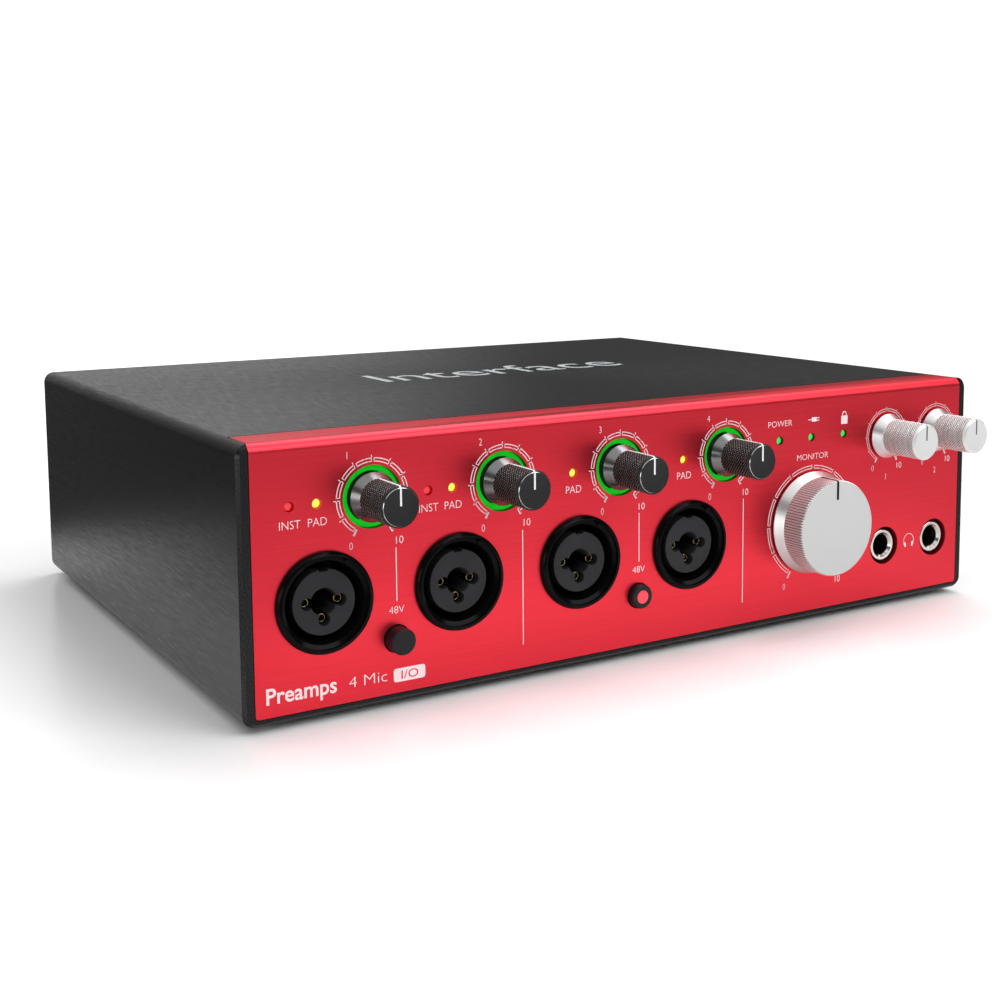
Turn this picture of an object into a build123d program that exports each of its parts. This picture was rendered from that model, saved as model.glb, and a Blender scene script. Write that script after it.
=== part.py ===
"""Desktop audio interface with four microphone channels, built as separate pieces.

Millimetres. +X is to the right of a person facing the front, the front faces -Y and
+Z is up. The origin is on the table, under the middle of the whole object.
"""

import os
from math import cos, radians, sin

from build123d import *

os.makedirs("parts", exist_ok=True)

# ---------------------------------------------------------------- driving dimensions

# Case
case_width = 240.0
case_height = 67.1
case_depth = 184.5
case_corner_radius = 3.2
case_front_chamfer = 0.9
case_rear_chamfer = 0.6
side_wall = 2.8
top_wall = 2.4
floor_wall = 1.7
foot_height = 2.0
foot_radius = 7.0
foot_inset = 22.0
slip = 0.2

# Red front panel: a thick plate whose top edge folds back over the case
panel_thickness = 2.5
panel_fold_radius = 2.4
panel_corner_radius = 0.4
panel_foot_radius = 0.8
fold_depth = 12.9
fold_seam = 0.4

# How far the front and rear pieces stand out of the case
phones_knob_reach = 16.2
coax_reach = 8.0

# Sheet metal and boards behind the panel
sheet = 1.2
tray_sheet = 1.0
board_thickness = 1.6
board_setback = 9.5
flange_height = 7.0
rear_tab_width = 8.0
rear_tab_top = 60.0
rear_screw_rows_z = (14.0, 54.0)

# Rear panel
rear_thickness = 1.5
rear_recess = 1.0

# Front controls: places are X and height above the table
channels = 4
channel_pitch = 36.42
combo_first_x = -99.1
combo_z = 29.5
gain_offset_x = 13.0
control_row_z = 53.6
instrument_offset_x = -8.4
pad_offsets_x = (-1.4, -1.5, -2.05, -2.05)
lamp_row_z = 53.5
status_x = (42.9, 55.1, 67.9)
status_z = 55.7
phantom_x = (-80.2, -7.2)
phantom_z = 17.6
monitor_x = 55.4
monitor_z = 30.5
phones_x = (85.4, 106.6)
phones_jack_z = 19.6

# Combination sockets
combo_flange_radius = 12.5
combo_flange_height = 1.6
combo_barrel_radius = 11.8
combo_recess_radius = 9.6
combo_recess_depth = 16.0
combo_rim_fillet = 1.2
combo_lip_radius = 11.2
combo_lip_step = 0.9
combo_ledge_width = 1.0
combo_ledge_fall = 0.5
combo_cone_depth = 2.2
combo_lip_gap = 10.6
combo_lip_gap_radius = 11.6
combo_lip_gap_depth = 1.5
combo_key_slot = (3.8, 2.6)
combo_key_depth = 12.0
combo_rear_wall = 2.0
combo_tail_play = 0.3
combo_block = (24.0, 26.0)
combo_tail = (20.0, 20.0)
combo_depth = 34.0
insert_radius = 8.0
insert_setback = 0.4
insert_base = 2.0
insert_notch = (2.4, 1.2)
insert_countersink = 0.3
jack_bore_radius = 3.3
contact_circle = 4.3
contact_lobe_radius = 1.55
contact_lobe_depth = 6.0
contact_setback = 1.9
contact_edge = 0.19
contact_hole_radius = 1.2
contact_tube_radius = 1.15
contact_tube_bore = 0.75
contact_bottom = 13.0

# Knobs: (reach, skirt radius, barrel radius, face radius)
gain_knob_size = (15.3, 6.15, 5.05, 4.5)
monitor_knob_size = (10.9, 15.15, 13.9, 13.45)
phones_knob_size = (phones_knob_reach, 6.7, 5.35, 4.65)
knob_lift = 0.5
knob_skirt_flat = 0.35
knob_cone_length = 2.8
knob_undercut = 0.7  # the skirt's cone ends this far inside the barrel
knob_roof = 2.6
shaft_radius = 3.0
shaft_play = 0.05
shaft_end = 8.6
shaft_chamfer = 0.4
shaft_hole_radius = 4.0
pot_front = 3.9
pot_bore_depth = 9.0
small_pot = 9.6
large_pot = 13.0

# Green light rings round the gain knobs
halo_radius = 7.6
halo_gap = 0.2
halo_bore = 6.25
halo_setback = 0.9
halo_collar = 8.6
halo_edge = 0.3

# Latching phantom power buttons
cap_radius = 3.3
cap_height = 4.0
cap_length = 5.4
cap_edge = 0.5
button_travel = 2.0
button_hole_radius = 3.6
stem_radius = 1.5
stem_length = 4.4
switch_size = 7.0

# Indicator lamps
lamp_radius = 1.05
lamp_hole_radius = 1.25
lamp_setback = 0.7
lamp_dome = 0.3

# Headphone sockets
plug_bore_radius = 3.25
bushing_radius = 4.75
bushing_setback = 0.8
bushing_cone_radius = 3.9
bushing_cone_depth = 0.8
bushing_depth = 6.5
bushing_edge = 0.3
phones_hole_radius = 5.8
phones_body = (13.0, 12.0)
phones_body_depth = 30.0
phones_bore_depth = 28.0

# Rear connectors: places are X and height above the table
line_first_x = -97.0
line_pitch = 19.0
line_rows_z = (22.0, 47.0)
line_columns = 4
line_body_width = 15.0
line_body_depth = 26.0
line_split_z = 30.0
line_top_z = 55.0
line_nose_radius = 5.6
line_mouth_radius = 3.6
line_mouth_depth = 0.8
line_bore_depth = 25.0
midi_x = (28.0, 3.0)
midi_z = 28.0
midi_body = (19.0, 27.0)
midi_body_depth = 16.0
midi_nose_radius = 8.0
midi_shell_radius = 6.9
midi_plug_radius = 6.0
midi_pin_circle = 3.5
midi_pin_radius = 0.8
midi_pin_depth = 7.0
midi_face_depth = 1.0
midi_slot_depth = 8.0
midi_key = (2.2, 1.6)
coax_x = -17.0
coax_z = (22.0, 40.0)
coax_body = (12.0, 34.0)
coax_body_depth = 12.0
coax_radius = 4.15
coax_pin_radius = 1.65
coax_collar_radius = 5.4
coax_collar_height = 1.0
coax_pin_depth = 9.0
coax_edge = 0.4
optical_x = 48.0
optical_size = (13.4, 11.0)
optical_opening = 8.6
optical_frame = 0.3
optical_depth = 9.0
optical_body_depth = 15.0
usb_x = 64.0
usb_shell = (9.4, 3.7)
usb_opening = (8.5, 2.7)
usb_tongue = (6.6, 0.7)
usb_corner = 1.3
usb_shell_corner = 1.6
usb_depth = 8.5
usb_back_wall = 1.0
inlet_x = 80.0
inlet_size = (10.0, 12.0)
inlet_body_depth = 14.0
inlet_radius = 3.0
inlet_pin_radius = 1.0
inlet_wall = 0.6
inlet_depth = 9.5
switch_x = 98.0
switch_z = 38.0
switch_bezel = (15.0, 22.8)
switch_bezel_height = 1.6
switch_bezel_corner = 1.2
switch_bezel_chamfer = 0.5
switch_back_wall = 2.0
switch_body = (13.4, 20.8)
switch_opening = (11.0, 18.4)
switch_depth = 15.0
rocker_half_width = 5.2
rocker_half_length = 8.4
rocker_crown = 2.6
rocker_keel = 3.0
rocker_tilt = 8.0
rocker_pivot_depth = 0.2
rocker_pin_radius = 1.0
rocker_pin_reach = 6.5
rocker_pin_end_gap = 0.4

# Main board and its furniture
main_board_z = 11.0
main_board_front = 37.0
strip_gap = 1.0
strip_height = 21.0
board_screw_columns = (-105.0, 0.0, 105.0)
board_screw_rows = (-42.0, 48.0)
small_chip = 10.0
small_chip_places = ((-60, 0), (-30, 0), (-60, 30), (-30, 30))
large_chip = 18.0
large_chip_place = (20, 15)
chip_height = 1.4
sink_place = (70, 8)
sink_width = 44.0
sink_depth = 26.0
sink_height = 18.0
sink_base = 3.0
fin_count = 9
fin_thickness = 1.4
ribbon_x = 84.0
ribbon_width = 22.0
ribbon_thickness = 0.9
ribbon_bend = 4.0
ribbon_drop = 10.0
ribbon_setback = 6.0
standoff_radius = 3.0
screw_hole_radius = 1.7
screw_radius = 1.5
screw_head_radius = 2.8
screw_head_height = 1.6
screw_cross = (2.6, 0.6)
screw_cross_depth = 1.0

# ---------------------------------------------------------------- derived places

case_bottom = foot_height
case_top = foot_height + case_height
case_middle_z = (case_bottom + case_top) / 2
inner_half_width = case_width / 2 - side_wall
inner_bottom = case_bottom + floor_wall
inner_top = case_top - top_wall
inner_middle_z = (inner_bottom + inner_top) / 2
inner_height = inner_top - inner_bottom
panel_half_width = inner_half_width - slip
panel_bottom = inner_bottom + slip
face_y = phones_knob_reach - (phones_knob_reach + case_depth + coax_reach) / 2
rear_y = face_y + case_depth
rear_face_y = rear_y - rear_recess
rear_inner_y = rear_face_y - rear_thickness
bracket_back = panel_thickness + sheet
board_top_z = main_board_z + board_thickness

# Sketches on the front plane are (X, Z) and grow towards the person; the rear plane
# is seen from behind, so its first coordinate is -X.
front = Plane(origin=(0, face_y, 0), x_dir=(1, 0, 0), z_dir=(0, -1, 0))
rear = Plane(origin=(0, rear_face_y, 0), x_dir=(-1, 0, 0), z_dir=(0, 1, 0))

combo_x = [combo_first_x + channel_pitch * i for i in range(channels)]
gain_x = [x + gain_offset_x for x in combo_x]
instrument_x = [x + instrument_offset_x for x in combo_x[:2]]
pad_x = [x + offset for x, offset in zip(combo_x, pad_offsets_x)]
line_x = [line_first_x + line_pitch * i for i in range(line_columns)]


def save(piece, name):
    """Label a finished piece and write it to its own file."""
    piece.part.label = name
    export_step(piece.part, f"parts/{name}.step")


def behind(depth):
    """The front plane, moved into the case by depth."""
    return front.offset(-depth)


def turning_plane(x, z):
    """A plane through a control's axis: its first coordinate is the radius and its
    second is the depth behind the panel's face."""
    return Plane(origin=(x, face_y, z), x_dir=(1, 0, 0), z_dir=(0, 0, 1))


def turning_axis(x, z):
    return Axis((x, face_y, z), (0, 1, 0))


# ---------------------------------------------------------------- case

with BuildPart() as sleeve:
    with BuildSketch(front):
        with Locations((0, case_middle_z)):
            RectangleRounded(case_width, case_height, case_corner_radius)
    extrude(amount=-case_depth)
    chamfer(sleeve.faces().sort_by(Axis.Y)[0].edges(), case_front_chamfer)
    chamfer(sleeve.faces().sort_by(Axis.Y)[-1].edges(), case_rear_chamfer)
    with BuildSketch(front):
        with Locations((0, inner_middle_z)):
            RectangleRounded(2 * inner_half_width, inner_height, panel_foot_radius + slip)
    extrude(amount=-case_depth, mode=Mode.SUBTRACT)
    # The front of the roof is cut away for the red panel's fold.
    with BuildSketch(front) as fold_notch:
        notch_height = case_top + slip - inner_middle_z
        with Locations((0, inner_middle_z + notch_height / 2)):
            Rectangle(2 * inner_half_width, notch_height)
        fillet(fold_notch.vertices().group_by(Axis.Y)[-1], panel_corner_radius)
    extrude(amount=-(fold_depth + fold_seam), mode=Mode.SUBTRACT)
save(sleeve, "outer_sleeve")

with BuildPart() as feet:
    with BuildSketch(Plane.XY):
        foot_spacing_x = case_width - 2 * foot_inset
        foot_spacing_y = case_depth - 2 * foot_inset
        with Locations((0, (face_y + rear_y) / 2)):
            with GridLocations(foot_spacing_x, foot_spacing_y, 2, 2):
                Circle(foot_radius)
    extrude(amount=foot_height)
    chamfer(feet.faces().group_by(Axis.Z)[0].edges(), foot_height / 4)
save(feet, "rubber_feet")

with BuildPart() as panel:
    with BuildSketch(Plane.YZ) as fold_section:
        with Locations((face_y, panel_bottom)):
            Rectangle(panel_thickness, case_top - panel_bottom, align=(Align.MIN, Align.MIN))
        with Locations((face_y, case_top)):
            Rectangle(fold_depth, top_wall, align=(Align.MIN, Align.MAX))
        outer_corner = fold_section.vertices().group_by(Axis.Y)[-1].sort_by(Axis.X)[0]
        fillet(outer_corner, panel_fold_radius)
    extrude(amount=panel_half_width, both=True)
    with BuildSketch(front) as panel_outline:
        with Locations((0, panel_bottom)):
            Rectangle(
                2 * panel_half_width, case_top - panel_bottom, align=(Align.CENTER, Align.MIN)
            )
        fillet(panel_outline.vertices().group_by(Axis.Y)[-1], panel_corner_radius)
        fillet(panel_outline.vertices().group_by(Axis.Y)[0], panel_foot_radius)
    extrude(amount=-fold_depth, mode=Mode.INTERSECT)
    with BuildSketch(front):
        with Locations(*[(x, combo_z) for x in combo_x]):
            Circle(combo_barrel_radius + slip)
        with Locations(*[(x, control_row_z) for x in gain_x]):
            Circle(halo_radius + halo_gap)
        with Locations(*[(x, lamp_row_z) for x in instrument_x + pad_x]):
            Circle(lamp_hole_radius)
        with Locations(*[(x, status_z) for x in status_x]):
            Circle(lamp_hole_radius)
        with Locations(*[(x, phantom_z) for x in phantom_x]):
            Circle(button_hole_radius)
        with Locations((monitor_x, monitor_z), *[(x, control_row_z) for x in phones_x]):
            Circle(shaft_hole_radius)
        with Locations(*[(x, phones_jack_z) for x in phones_x]):
            Circle(phones_hole_radius)
    extrude(amount=-panel_thickness, mode=Mode.SUBTRACT)
save(panel, "front_panel")

with BuildPart() as bracket:
    bracket_bottom = panel_bottom + slip
    bracket_half_width = panel_half_width - 2 * slip
    with BuildSketch(behind(panel_thickness)):
        with Locations((0, bracket_bottom)):
            Rectangle(
                2 * bracket_half_width, inner_top - bracket_bottom, align=(Align.CENTER, Align.MIN)
            )
    extrude(amount=-sheet)
    # A flange carries the red fold from below.
    with BuildSketch(Plane.XY.offset(inner_top)):
        with Locations((0, face_y + panel_thickness)):
            Rectangle(
                2 * bracket_half_width,
                fold_depth - panel_thickness - fold_seam,
                align=(Align.CENTER, Align.MIN),
            )
    extrude(amount=-sheet)
    with BuildSketch(behind(panel_thickness)):
        with Locations(*[(x, combo_z) for x in combo_x]):
            Circle(combo_barrel_radius + slip)
        with Locations(*[(x, control_row_z) for x in gain_x]):
            Circle(halo_collar + slip)
        with Locations(*[(x, lamp_row_z) for x in instrument_x + pad_x]):
            Circle(lamp_hole_radius)
        with Locations(*[(x, status_z) for x in status_x]):
            Circle(lamp_hole_radius)
        with Locations(*[(x, phantom_z) for x in phantom_x]):
            Circle(button_hole_radius)
        with Locations((monitor_x, monitor_z), *[(x, control_row_z) for x in phones_x]):
            Circle(shaft_hole_radius)
        with Locations(*[(x, phones_jack_z) for x in phones_x]):
            Circle(phones_hole_radius)
    extrude(amount=-sheet, mode=Mode.SUBTRACT)
save(bracket, "front_bracket")

tray_half_width = panel_half_width - 2 * slip
tray_front_y = face_y + bracket_back
tray_length = rear_inner_y - tray_front_y
tray_bottom = panel_bottom
tray_floor_top = tray_bottom + tray_sheet
rear_screw_x = tray_half_width - tray_sheet - rear_tab_width / 2
rear_screw_places = [(side * rear_screw_x, z) for side in (-1, 1) for z in rear_screw_rows_z]
board_screw_places = [(x, y) for x in board_screw_columns for y in board_screw_rows]

with BuildPart() as tray:
    with BuildSketch(Plane.XY.offset(tray_bottom)):
        with Locations((0, tray_front_y)):
            Rectangle(2 * tray_half_width, tray_length, align=(Align.CENTER, Align.MIN))
    extrude(amount=tray_sheet)
    with BuildSketch(Plane.XY.offset(tray_floor_top)):
        with Locations((0, tray_front_y)):
            Rectangle(2 * tray_half_width, tray_sheet, align=(Align.CENTER, Align.MIN))
        with Locations((0, rear_inner_y)):
            Rectangle(2 * tray_half_width, tray_sheet, align=(Align.CENTER, Align.MAX))
    extrude(amount=flange_height)
    with BuildSketch(Plane.XY.offset(tray_floor_top)):
        for side in (-1, 1):
            with Locations((side * (tray_half_width - tray_sheet / 2), tray_front_y)):
                Rectangle(tray_sheet, tray_length, align=(Align.CENTER, Align.MIN))
            with Locations((side * rear_screw_x, rear_inner_y)):
                Rectangle(rear_tab_width, tray_sheet, align=(Align.CENTER, Align.MAX))
    extrude(amount=rear_tab_top - tray_floor_top)
    with BuildSketch(rear.offset(-rear_thickness)):
        with Locations(*rear_screw_places):
            Circle(screw_radius)
    extrude(amount=-tray_sheet, mode=Mode.SUBTRACT)
save(tray, "chassis_tray")

# ---------------------------------------------------------------- boards inside

with BuildPart() as main_board:
    board_front_y = face_y + main_board_front
    board_rear_y = rear_inner_y - tray_sheet - slip
    board_half_width = tray_half_width - tray_sheet - 2 * slip
    with BuildSketch(Plane.XY.offset(main_board_z)):
        with Locations((0, board_front_y)):
            Rectangle(
                2 * board_half_width, board_rear_y - board_front_y, align=(Align.CENTER, Align.MIN)
            )
        with Locations(*board_screw_places):
            Circle(screw_hole_radius, mode=Mode.SUBTRACT)
        for side in (-1, 1):
            with Locations((side * rear_screw_x, board_rear_y)):
                Rectangle(
                    rear_tab_width + 2 * slip,
                    2 * tray_sheet,
                    align=(Align.CENTER, Align.MAX),
                    mode=Mode.SUBTRACT,
                )
    extrude(amount=board_thickness)
    # Converter, controller and memory chips, soldered flat on the board
    with BuildSketch(Plane.XY.offset(board_top_z)):
        with Locations(*small_chip_places):
            Rectangle(small_chip, small_chip)
        with Locations(large_chip_place):
            Rectangle(large_chip, large_chip)
    extrude(amount=chip_height)
save(main_board, "main_board")

with BuildPart() as control_board:
    strip_bottom = combo_z + combo_block[1] / 2 + strip_gap
    strip_top = strip_bottom + strip_height
    with BuildSketch(behind(board_setback)):
        with Locations((0, strip_bottom)):
            Rectangle(
                2 * (tray_half_width - tray_sheet - slip),
                strip_top - strip_bottom,
                align=(Align.CENTER, Align.MIN),
            )
        with Locations(*[(x, strip_bottom) for x in phantom_x]):
            Rectangle(
                switch_size + strip_gap,
                strip_bottom - phantom_z + switch_size,
                align=(Align.CENTER, Align.MAX),
            )
        with Locations((monitor_x, strip_bottom)):
            Rectangle(
                2 * large_pot,
                strip_bottom - monitor_z + large_pot,
                align=(Align.CENTER, Align.MAX),
            )
    extrude(amount=-board_thickness)
save(control_board, "control_board")

with BuildPart() as heat_sink:
    fin_pitch = (sink_width - fin_thickness) / (fin_count - 1)
    with BuildSketch(Plane.XY.offset(board_top_z)):
        with Locations(sink_place):
            Rectangle(sink_width, sink_depth)
    extrude(amount=sink_base)
    with BuildSketch(Plane.XY.offset(board_top_z + sink_base)):
        with Locations(sink_place):
            with GridLocations(fin_pitch, 0, fin_count, 1):
                Rectangle(fin_thickness, sink_depth)
    extrude(amount=sink_height - sink_base)
save(heat_sink, "heat_sink")

with BuildPart() as ribbon:
    ribbon_start = (face_y + board_setback + board_thickness, strip_top - ribbon_drop)
    ribbon_corner = (board_front_y + ribbon_setback, strip_top - ribbon_drop)
    ribbon_end = (board_front_y + ribbon_setback, board_top_z)
    with BuildSketch(Plane.YZ.offset(ribbon_x)):
        with BuildLine():
            FilletPolyline(ribbon_start, ribbon_corner, ribbon_end, radius=ribbon_bend)
        trace(line_width=ribbon_thickness)
    extrude(amount=ribbon_width / 2, both=True)
save(ribbon, "ribbon_cable")

with BuildPart() as standoffs:
    with BuildSketch(Plane.XY.offset(tray_floor_top)):
        with Locations(*board_screw_places):
            RegularPolygon(standoff_radius, 6)
            Circle(screw_radius, mode=Mode.SUBTRACT)
    extrude(amount=main_board_z - tray_floor_top)
save(standoffs, "board_standoffs")


def cross_head_screws(plane, places, length):
    """Pan head screws whose heads sit on the plane and whose shanks go down from it."""
    with BuildPart() as screws:
        with BuildSketch(plane):
            with Locations(*places):
                Circle(screw_head_radius)
        extrude(amount=screw_head_height)
        with BuildSketch(plane):
            with Locations(*places):
                Circle(screw_radius)
        extrude(amount=-length)
        with BuildSketch(plane.offset(screw_head_height)):
            with Locations(*places):
                Rectangle(*screw_cross)
                Rectangle(*reversed(screw_cross))
        extrude(amount=-screw_cross_depth, mode=Mode.SUBTRACT)
    return screws


board_top = Plane.XY.offset(board_top_z)
save(
    cross_head_screws(board_top, board_screw_places, board_top_z - tray_floor_top),
    "board_screws",
)
save(
    cross_head_screws(rear, rear_screw_places, rear_thickness + tray_sheet),
    "rear_panel_screws",
)

# ---------------------------------------------------------------- combination sockets

for number, x in enumerate(combo_x, start=1):
    turn = turning_axis(x, combo_z)

    with BuildPart() as housing:
        with BuildSketch(behind(bracket_back)):
            with Locations((x, combo_z)):
                Rectangle(*combo_block)
        extrude(amount=-(combo_recess_depth - bracket_back))
        with BuildSketch(behind(combo_recess_depth)):
            with Locations((x, combo_z)):
                Rectangle(*combo_tail)
        extrude(amount=-(combo_depth - combo_recess_depth))
        # Flange and barrel, with a rounded rim in front of the panel
        with BuildSketch(turning_plane(x, combo_z)) as rim:
            with BuildLine():
                Polyline(
                    (0, combo_recess_depth),
                    (0, -combo_flange_height),
                    (combo_flange_radius, -combo_flange_height),
                    (combo_flange_radius, 0),
                    (combo_barrel_radius, 0),
                    (combo_barrel_radius, combo_recess_depth),
                    close=True,
                )
            make_face()
            rim_corner = rim.vertices().group_by(Axis.Y)[0].sort_by(Axis.X)[-1]
            fillet(rim_corner, combo_rim_fillet)
        revolve(axis=turn)
        # Well for the plug's shell: a lip, a ledge, a cone and a straight bore
        with BuildSketch(turning_plane(x, combo_z)):
            with BuildLine():
                Polyline(
                    (0, combo_recess_depth),
                    (combo_recess_radius, combo_recess_depth),
                    (combo_recess_radius, combo_cone_depth),
                    (
                        combo_lip_radius - combo_ledge_width,
                        combo_ledge_fall + combo_lip_step - combo_flange_height,
                    ),
                    (combo_lip_radius, combo_lip_step - combo_flange_height),
                    (combo_lip_radius, -combo_flange_height),
                    (0, -combo_flange_height),
                    close=True,
                )
            make_face()
        revolve(axis=turn, mode=Mode.SUBTRACT)
        # The lip is cut away at the top, over the slot for the plug's key.
        with BuildSketch(behind(-combo_flange_height)):
            with Locations((x, combo_z)):
                Circle(combo_lip_gap_radius)
            with Locations((x, combo_z + combo_lip_gap_radius)):
                Rectangle(combo_lip_gap, combo_lip_gap_radius, mode=Mode.INTERSECT)
        extrude(amount=-combo_lip_gap_depth, mode=Mode.SUBTRACT)
        with BuildSketch(front):
            with Locations((x, combo_z + combo_recess_radius)):
                Rectangle(*combo_key_slot)
        extrude(amount=-combo_key_depth, mode=Mode.SUBTRACT)
        with BuildSketch(behind(combo_recess_depth)):
            with Locations((x, combo_z)):
                Circle(jack_bore_radius + combo_tail_play)
        extrude(
            amount=combo_recess_depth + combo_rear_wall - combo_depth, mode=Mode.SUBTRACT
        )
    save(housing, f"combo_housing_{number}")

    contact_places = [
        (x - contact_circle, combo_z),
        (x + contact_circle, combo_z),
        (x, combo_z - contact_circle),
    ]
    with BuildPart() as insert:
        with BuildSketch(behind(insert_setback)):
            with Locations((x, combo_z)):
                Circle(insert_radius)
            with Locations((x, combo_z + insert_radius)):
                Rectangle(*insert_notch, mode=Mode.SUBTRACT)
        extrude(amount=-(combo_recess_depth - insert_base - insert_setback))
        with BuildSketch(behind(combo_recess_depth - insert_base)):
            with Locations((x, combo_z)):
                Circle(combo_recess_radius - shaft_play)
        extrude(amount=-insert_base)
        with BuildSketch(behind(insert_setback)):
            with Locations((x, combo_z)):
                Circle(jack_bore_radius)
        extrude(amount=-combo_recess_depth, mode=Mode.SUBTRACT)
        with BuildSketch(turning_plane(x, combo_z)):
            with BuildLine():
                Polyline(
                    (0, insert_setback),
                    (jack_bore_radius + insert_countersink, insert_setback),
                    (jack_bore_radius, insert_setback + insert_countersink),
                    (0, insert_setback + insert_countersink),
                    close=True,
                )
            make_face()
        revolve(axis=turn, mode=Mode.SUBTRACT)
        with BuildSketch(behind(insert_setback)):
            with Locations(*contact_places):
                Circle(contact_hole_radius)
        extrude(amount=-(contact_bottom - insert_setback), mode=Mode.SUBTRACT)
        # Each contact stands at the bottom of a round lobe that opens into the bore.
        with BuildSketch(behind(insert_setback)):
            with Locations(*contact_places):
                Circle(contact_lobe_radius)
        extrude(amount=-contact_lobe_depth, mode=Mode.SUBTRACT)
    save(insert, f"combo_insert_{number}")

contact_top = insert_setback + contact_setback
with BuildPart() as contacts:
    with BuildSketch(behind(contact_top)):
        for x in combo_x:
            with Locations(
                (x - contact_circle, combo_z),
                (x + contact_circle, combo_z),
                (x, combo_z - contact_circle),
            ):
                Circle(contact_tube_radius)
                Circle(contact_tube_bore, mode=Mode.SUBTRACT)
    extrude(amount=-(contact_bottom - contact_top))
    fillet(contacts.faces().group_by(Axis.Y)[0].edges(), contact_edge)
save(contacts, "combo_contacts")

# ---------------------------------------------------------------- knobs and controls


def make_shaft(x, z, reach):
    """A six millimetre shaft from inside the knob to inside its control."""
    with BuildPart() as shaft:
        with BuildSketch(behind(knob_roof - reach)):
            with Locations((x, z)):
                Circle(shaft_radius)
        extrude(amount=-(shaft_end + reach - knob_roof))
        chamfer(shaft.faces().sort_by(Axis.Y)[0].edges(), shaft_chamfer)
    return shaft


def make_knob(x, z, size):
    """A turned knob: a polished skirt narrowing under a straight barrel, and a flat face
    with a bevelled rim. The bore behind takes the shaft."""
    reach, skirt, barrel, face = size
    bevel = 2 * (barrel - face)
    skirt_front = knob_lift + knob_skirt_flat
    cone_front = skirt_front + knob_cone_length
    with BuildPart() as knob:
        with BuildSketch(turning_plane(x, z)):
            with BuildLine():
                Polyline(
                    (skirt, -knob_lift),
                    (skirt, -skirt_front),
                    (barrel - knob_undercut, -cone_front),
                    (barrel, -cone_front),
                    (barrel, bevel - reach),
                    (face, -reach),
                    (0, -reach),
                    (0, knob_roof - reach),
                    (shaft_radius, knob_roof - reach),
                    (shaft_radius, -knob_lift),
                    close=True,
                )
            make_face()
        revolve(axis=turning_axis(x, z))
    return knob


def make_pots(places, body):
    """Rotary controls on the control board, each with a round bearing for its shaft."""
    with BuildPart() as pots:
        with BuildSketch(behind(pot_front)):
            with Locations(*places):
                Rectangle(body, body)
        extrude(amount=-(board_setback - pot_front))
        with BuildSketch(behind(pot_front)):
            with Locations(*places):
                Circle(shaft_radius + shaft_play)
        extrude(amount=-(pot_bore_depth - pot_front), mode=Mode.SUBTRACT)
    return pots


for number, x in enumerate(gain_x, start=1):
    save(make_knob(x, control_row_z, gain_knob_size), f"gain_knob_{number}")
    save(make_shaft(x, control_row_z, gain_knob_size[0]), f"gain_shaft_{number}")

    with BuildPart() as halo:
        with BuildSketch(turning_plane(x, control_row_z)) as halo_section:
            with BuildLine():
                Polyline(
                    (halo_bore, halo_setback),
                    (halo_radius, halo_setback),
                    (halo_radius, panel_thickness),
                    (halo_collar, panel_thickness),
                    (halo_collar, bracket_back),
                    (halo_bore, bracket_back),
                    close=True,
                )
            make_face()
            fillet(halo_section.vertices().group_by(Axis.Y)[0], halo_edge)
        revolve(axis=turning_axis(x, control_row_z))
    save(halo, f"halo_ring_{number}")

save(make_pots([(x, control_row_z) for x in gain_x], small_pot), "gain_pots")

save(make_knob(monitor_x, monitor_z, monitor_knob_size), "monitor_knob")
save(make_shaft(monitor_x, monitor_z, monitor_knob_size[0]), "monitor_shaft")
save(make_pots([(monitor_x, monitor_z)], large_pot), "monitor_pot")

for number, x in enumerate(phones_x, start=1):
    save(make_knob(x, control_row_z, phones_knob_size), f"phones_knob_{number}")
    save(make_shaft(x, control_row_z, phones_knob_size[0]), f"phones_shaft_{number}")
save(make_pots([(x, control_row_z) for x in phones_x], small_pot), "phones_pots")

# Phantom buttons: the left one stands out, the right one is latched in.
for number, (x, pressed) in enumerate(zip(phantom_x, (0.0, button_travel)), start=1):
    with BuildPart() as button:
        with BuildSketch(behind(pressed - cap_height)):
            with Locations((x, phantom_z)):
                Circle(cap_radius)
        extrude(amount=-cap_length)
        fillet(button.faces().sort_by(Axis.Y)[0].edges(), cap_edge)
        with BuildSketch(behind(pressed - cap_height + cap_length)):
            with Locations((x, phantom_z)):
                Circle(stem_radius)
        extrude(amount=-stem_length)
    save(button, f"phantom_button_{number}")

with BuildPart() as switches:
    with BuildSketch(behind(pot_front)):
        with Locations(*[(x, phantom_z) for x in phantom_x]):
            Rectangle(switch_size, switch_size)
    extrude(amount=-(board_setback - pot_front))
    with BuildSketch(behind(pot_front)):
        with Locations(*[(x, phantom_z) for x in phantom_x]):
            Circle(stem_radius + shaft_play)
    extrude(amount=-(pot_bore_depth - pot_front), mode=Mode.SUBTRACT)
save(switches, "phantom_switches")


def make_lamps(places):
    """Light pipes from the control board to just under the panel's face."""
    with BuildPart() as lamps:
        with BuildSketch(behind(lamp_setback)):
            with Locations(*places):
                Circle(lamp_radius)
        extrude(amount=-(board_setback - lamp_setback))
        fillet(lamps.faces().group_by(Axis.Y)[0].edges(), lamp_dome)
    return lamps


save(make_lamps([(x, lamp_row_z) for x in instrument_x]), "instrument_lamps")
save(make_lamps([(x, lamp_row_z) for x in pad_x]), "channel_lamps")
save(make_lamps([(x, status_z) for x in status_x]), "status_lamps")

# ---------------------------------------------------------------- headphone sockets

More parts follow.
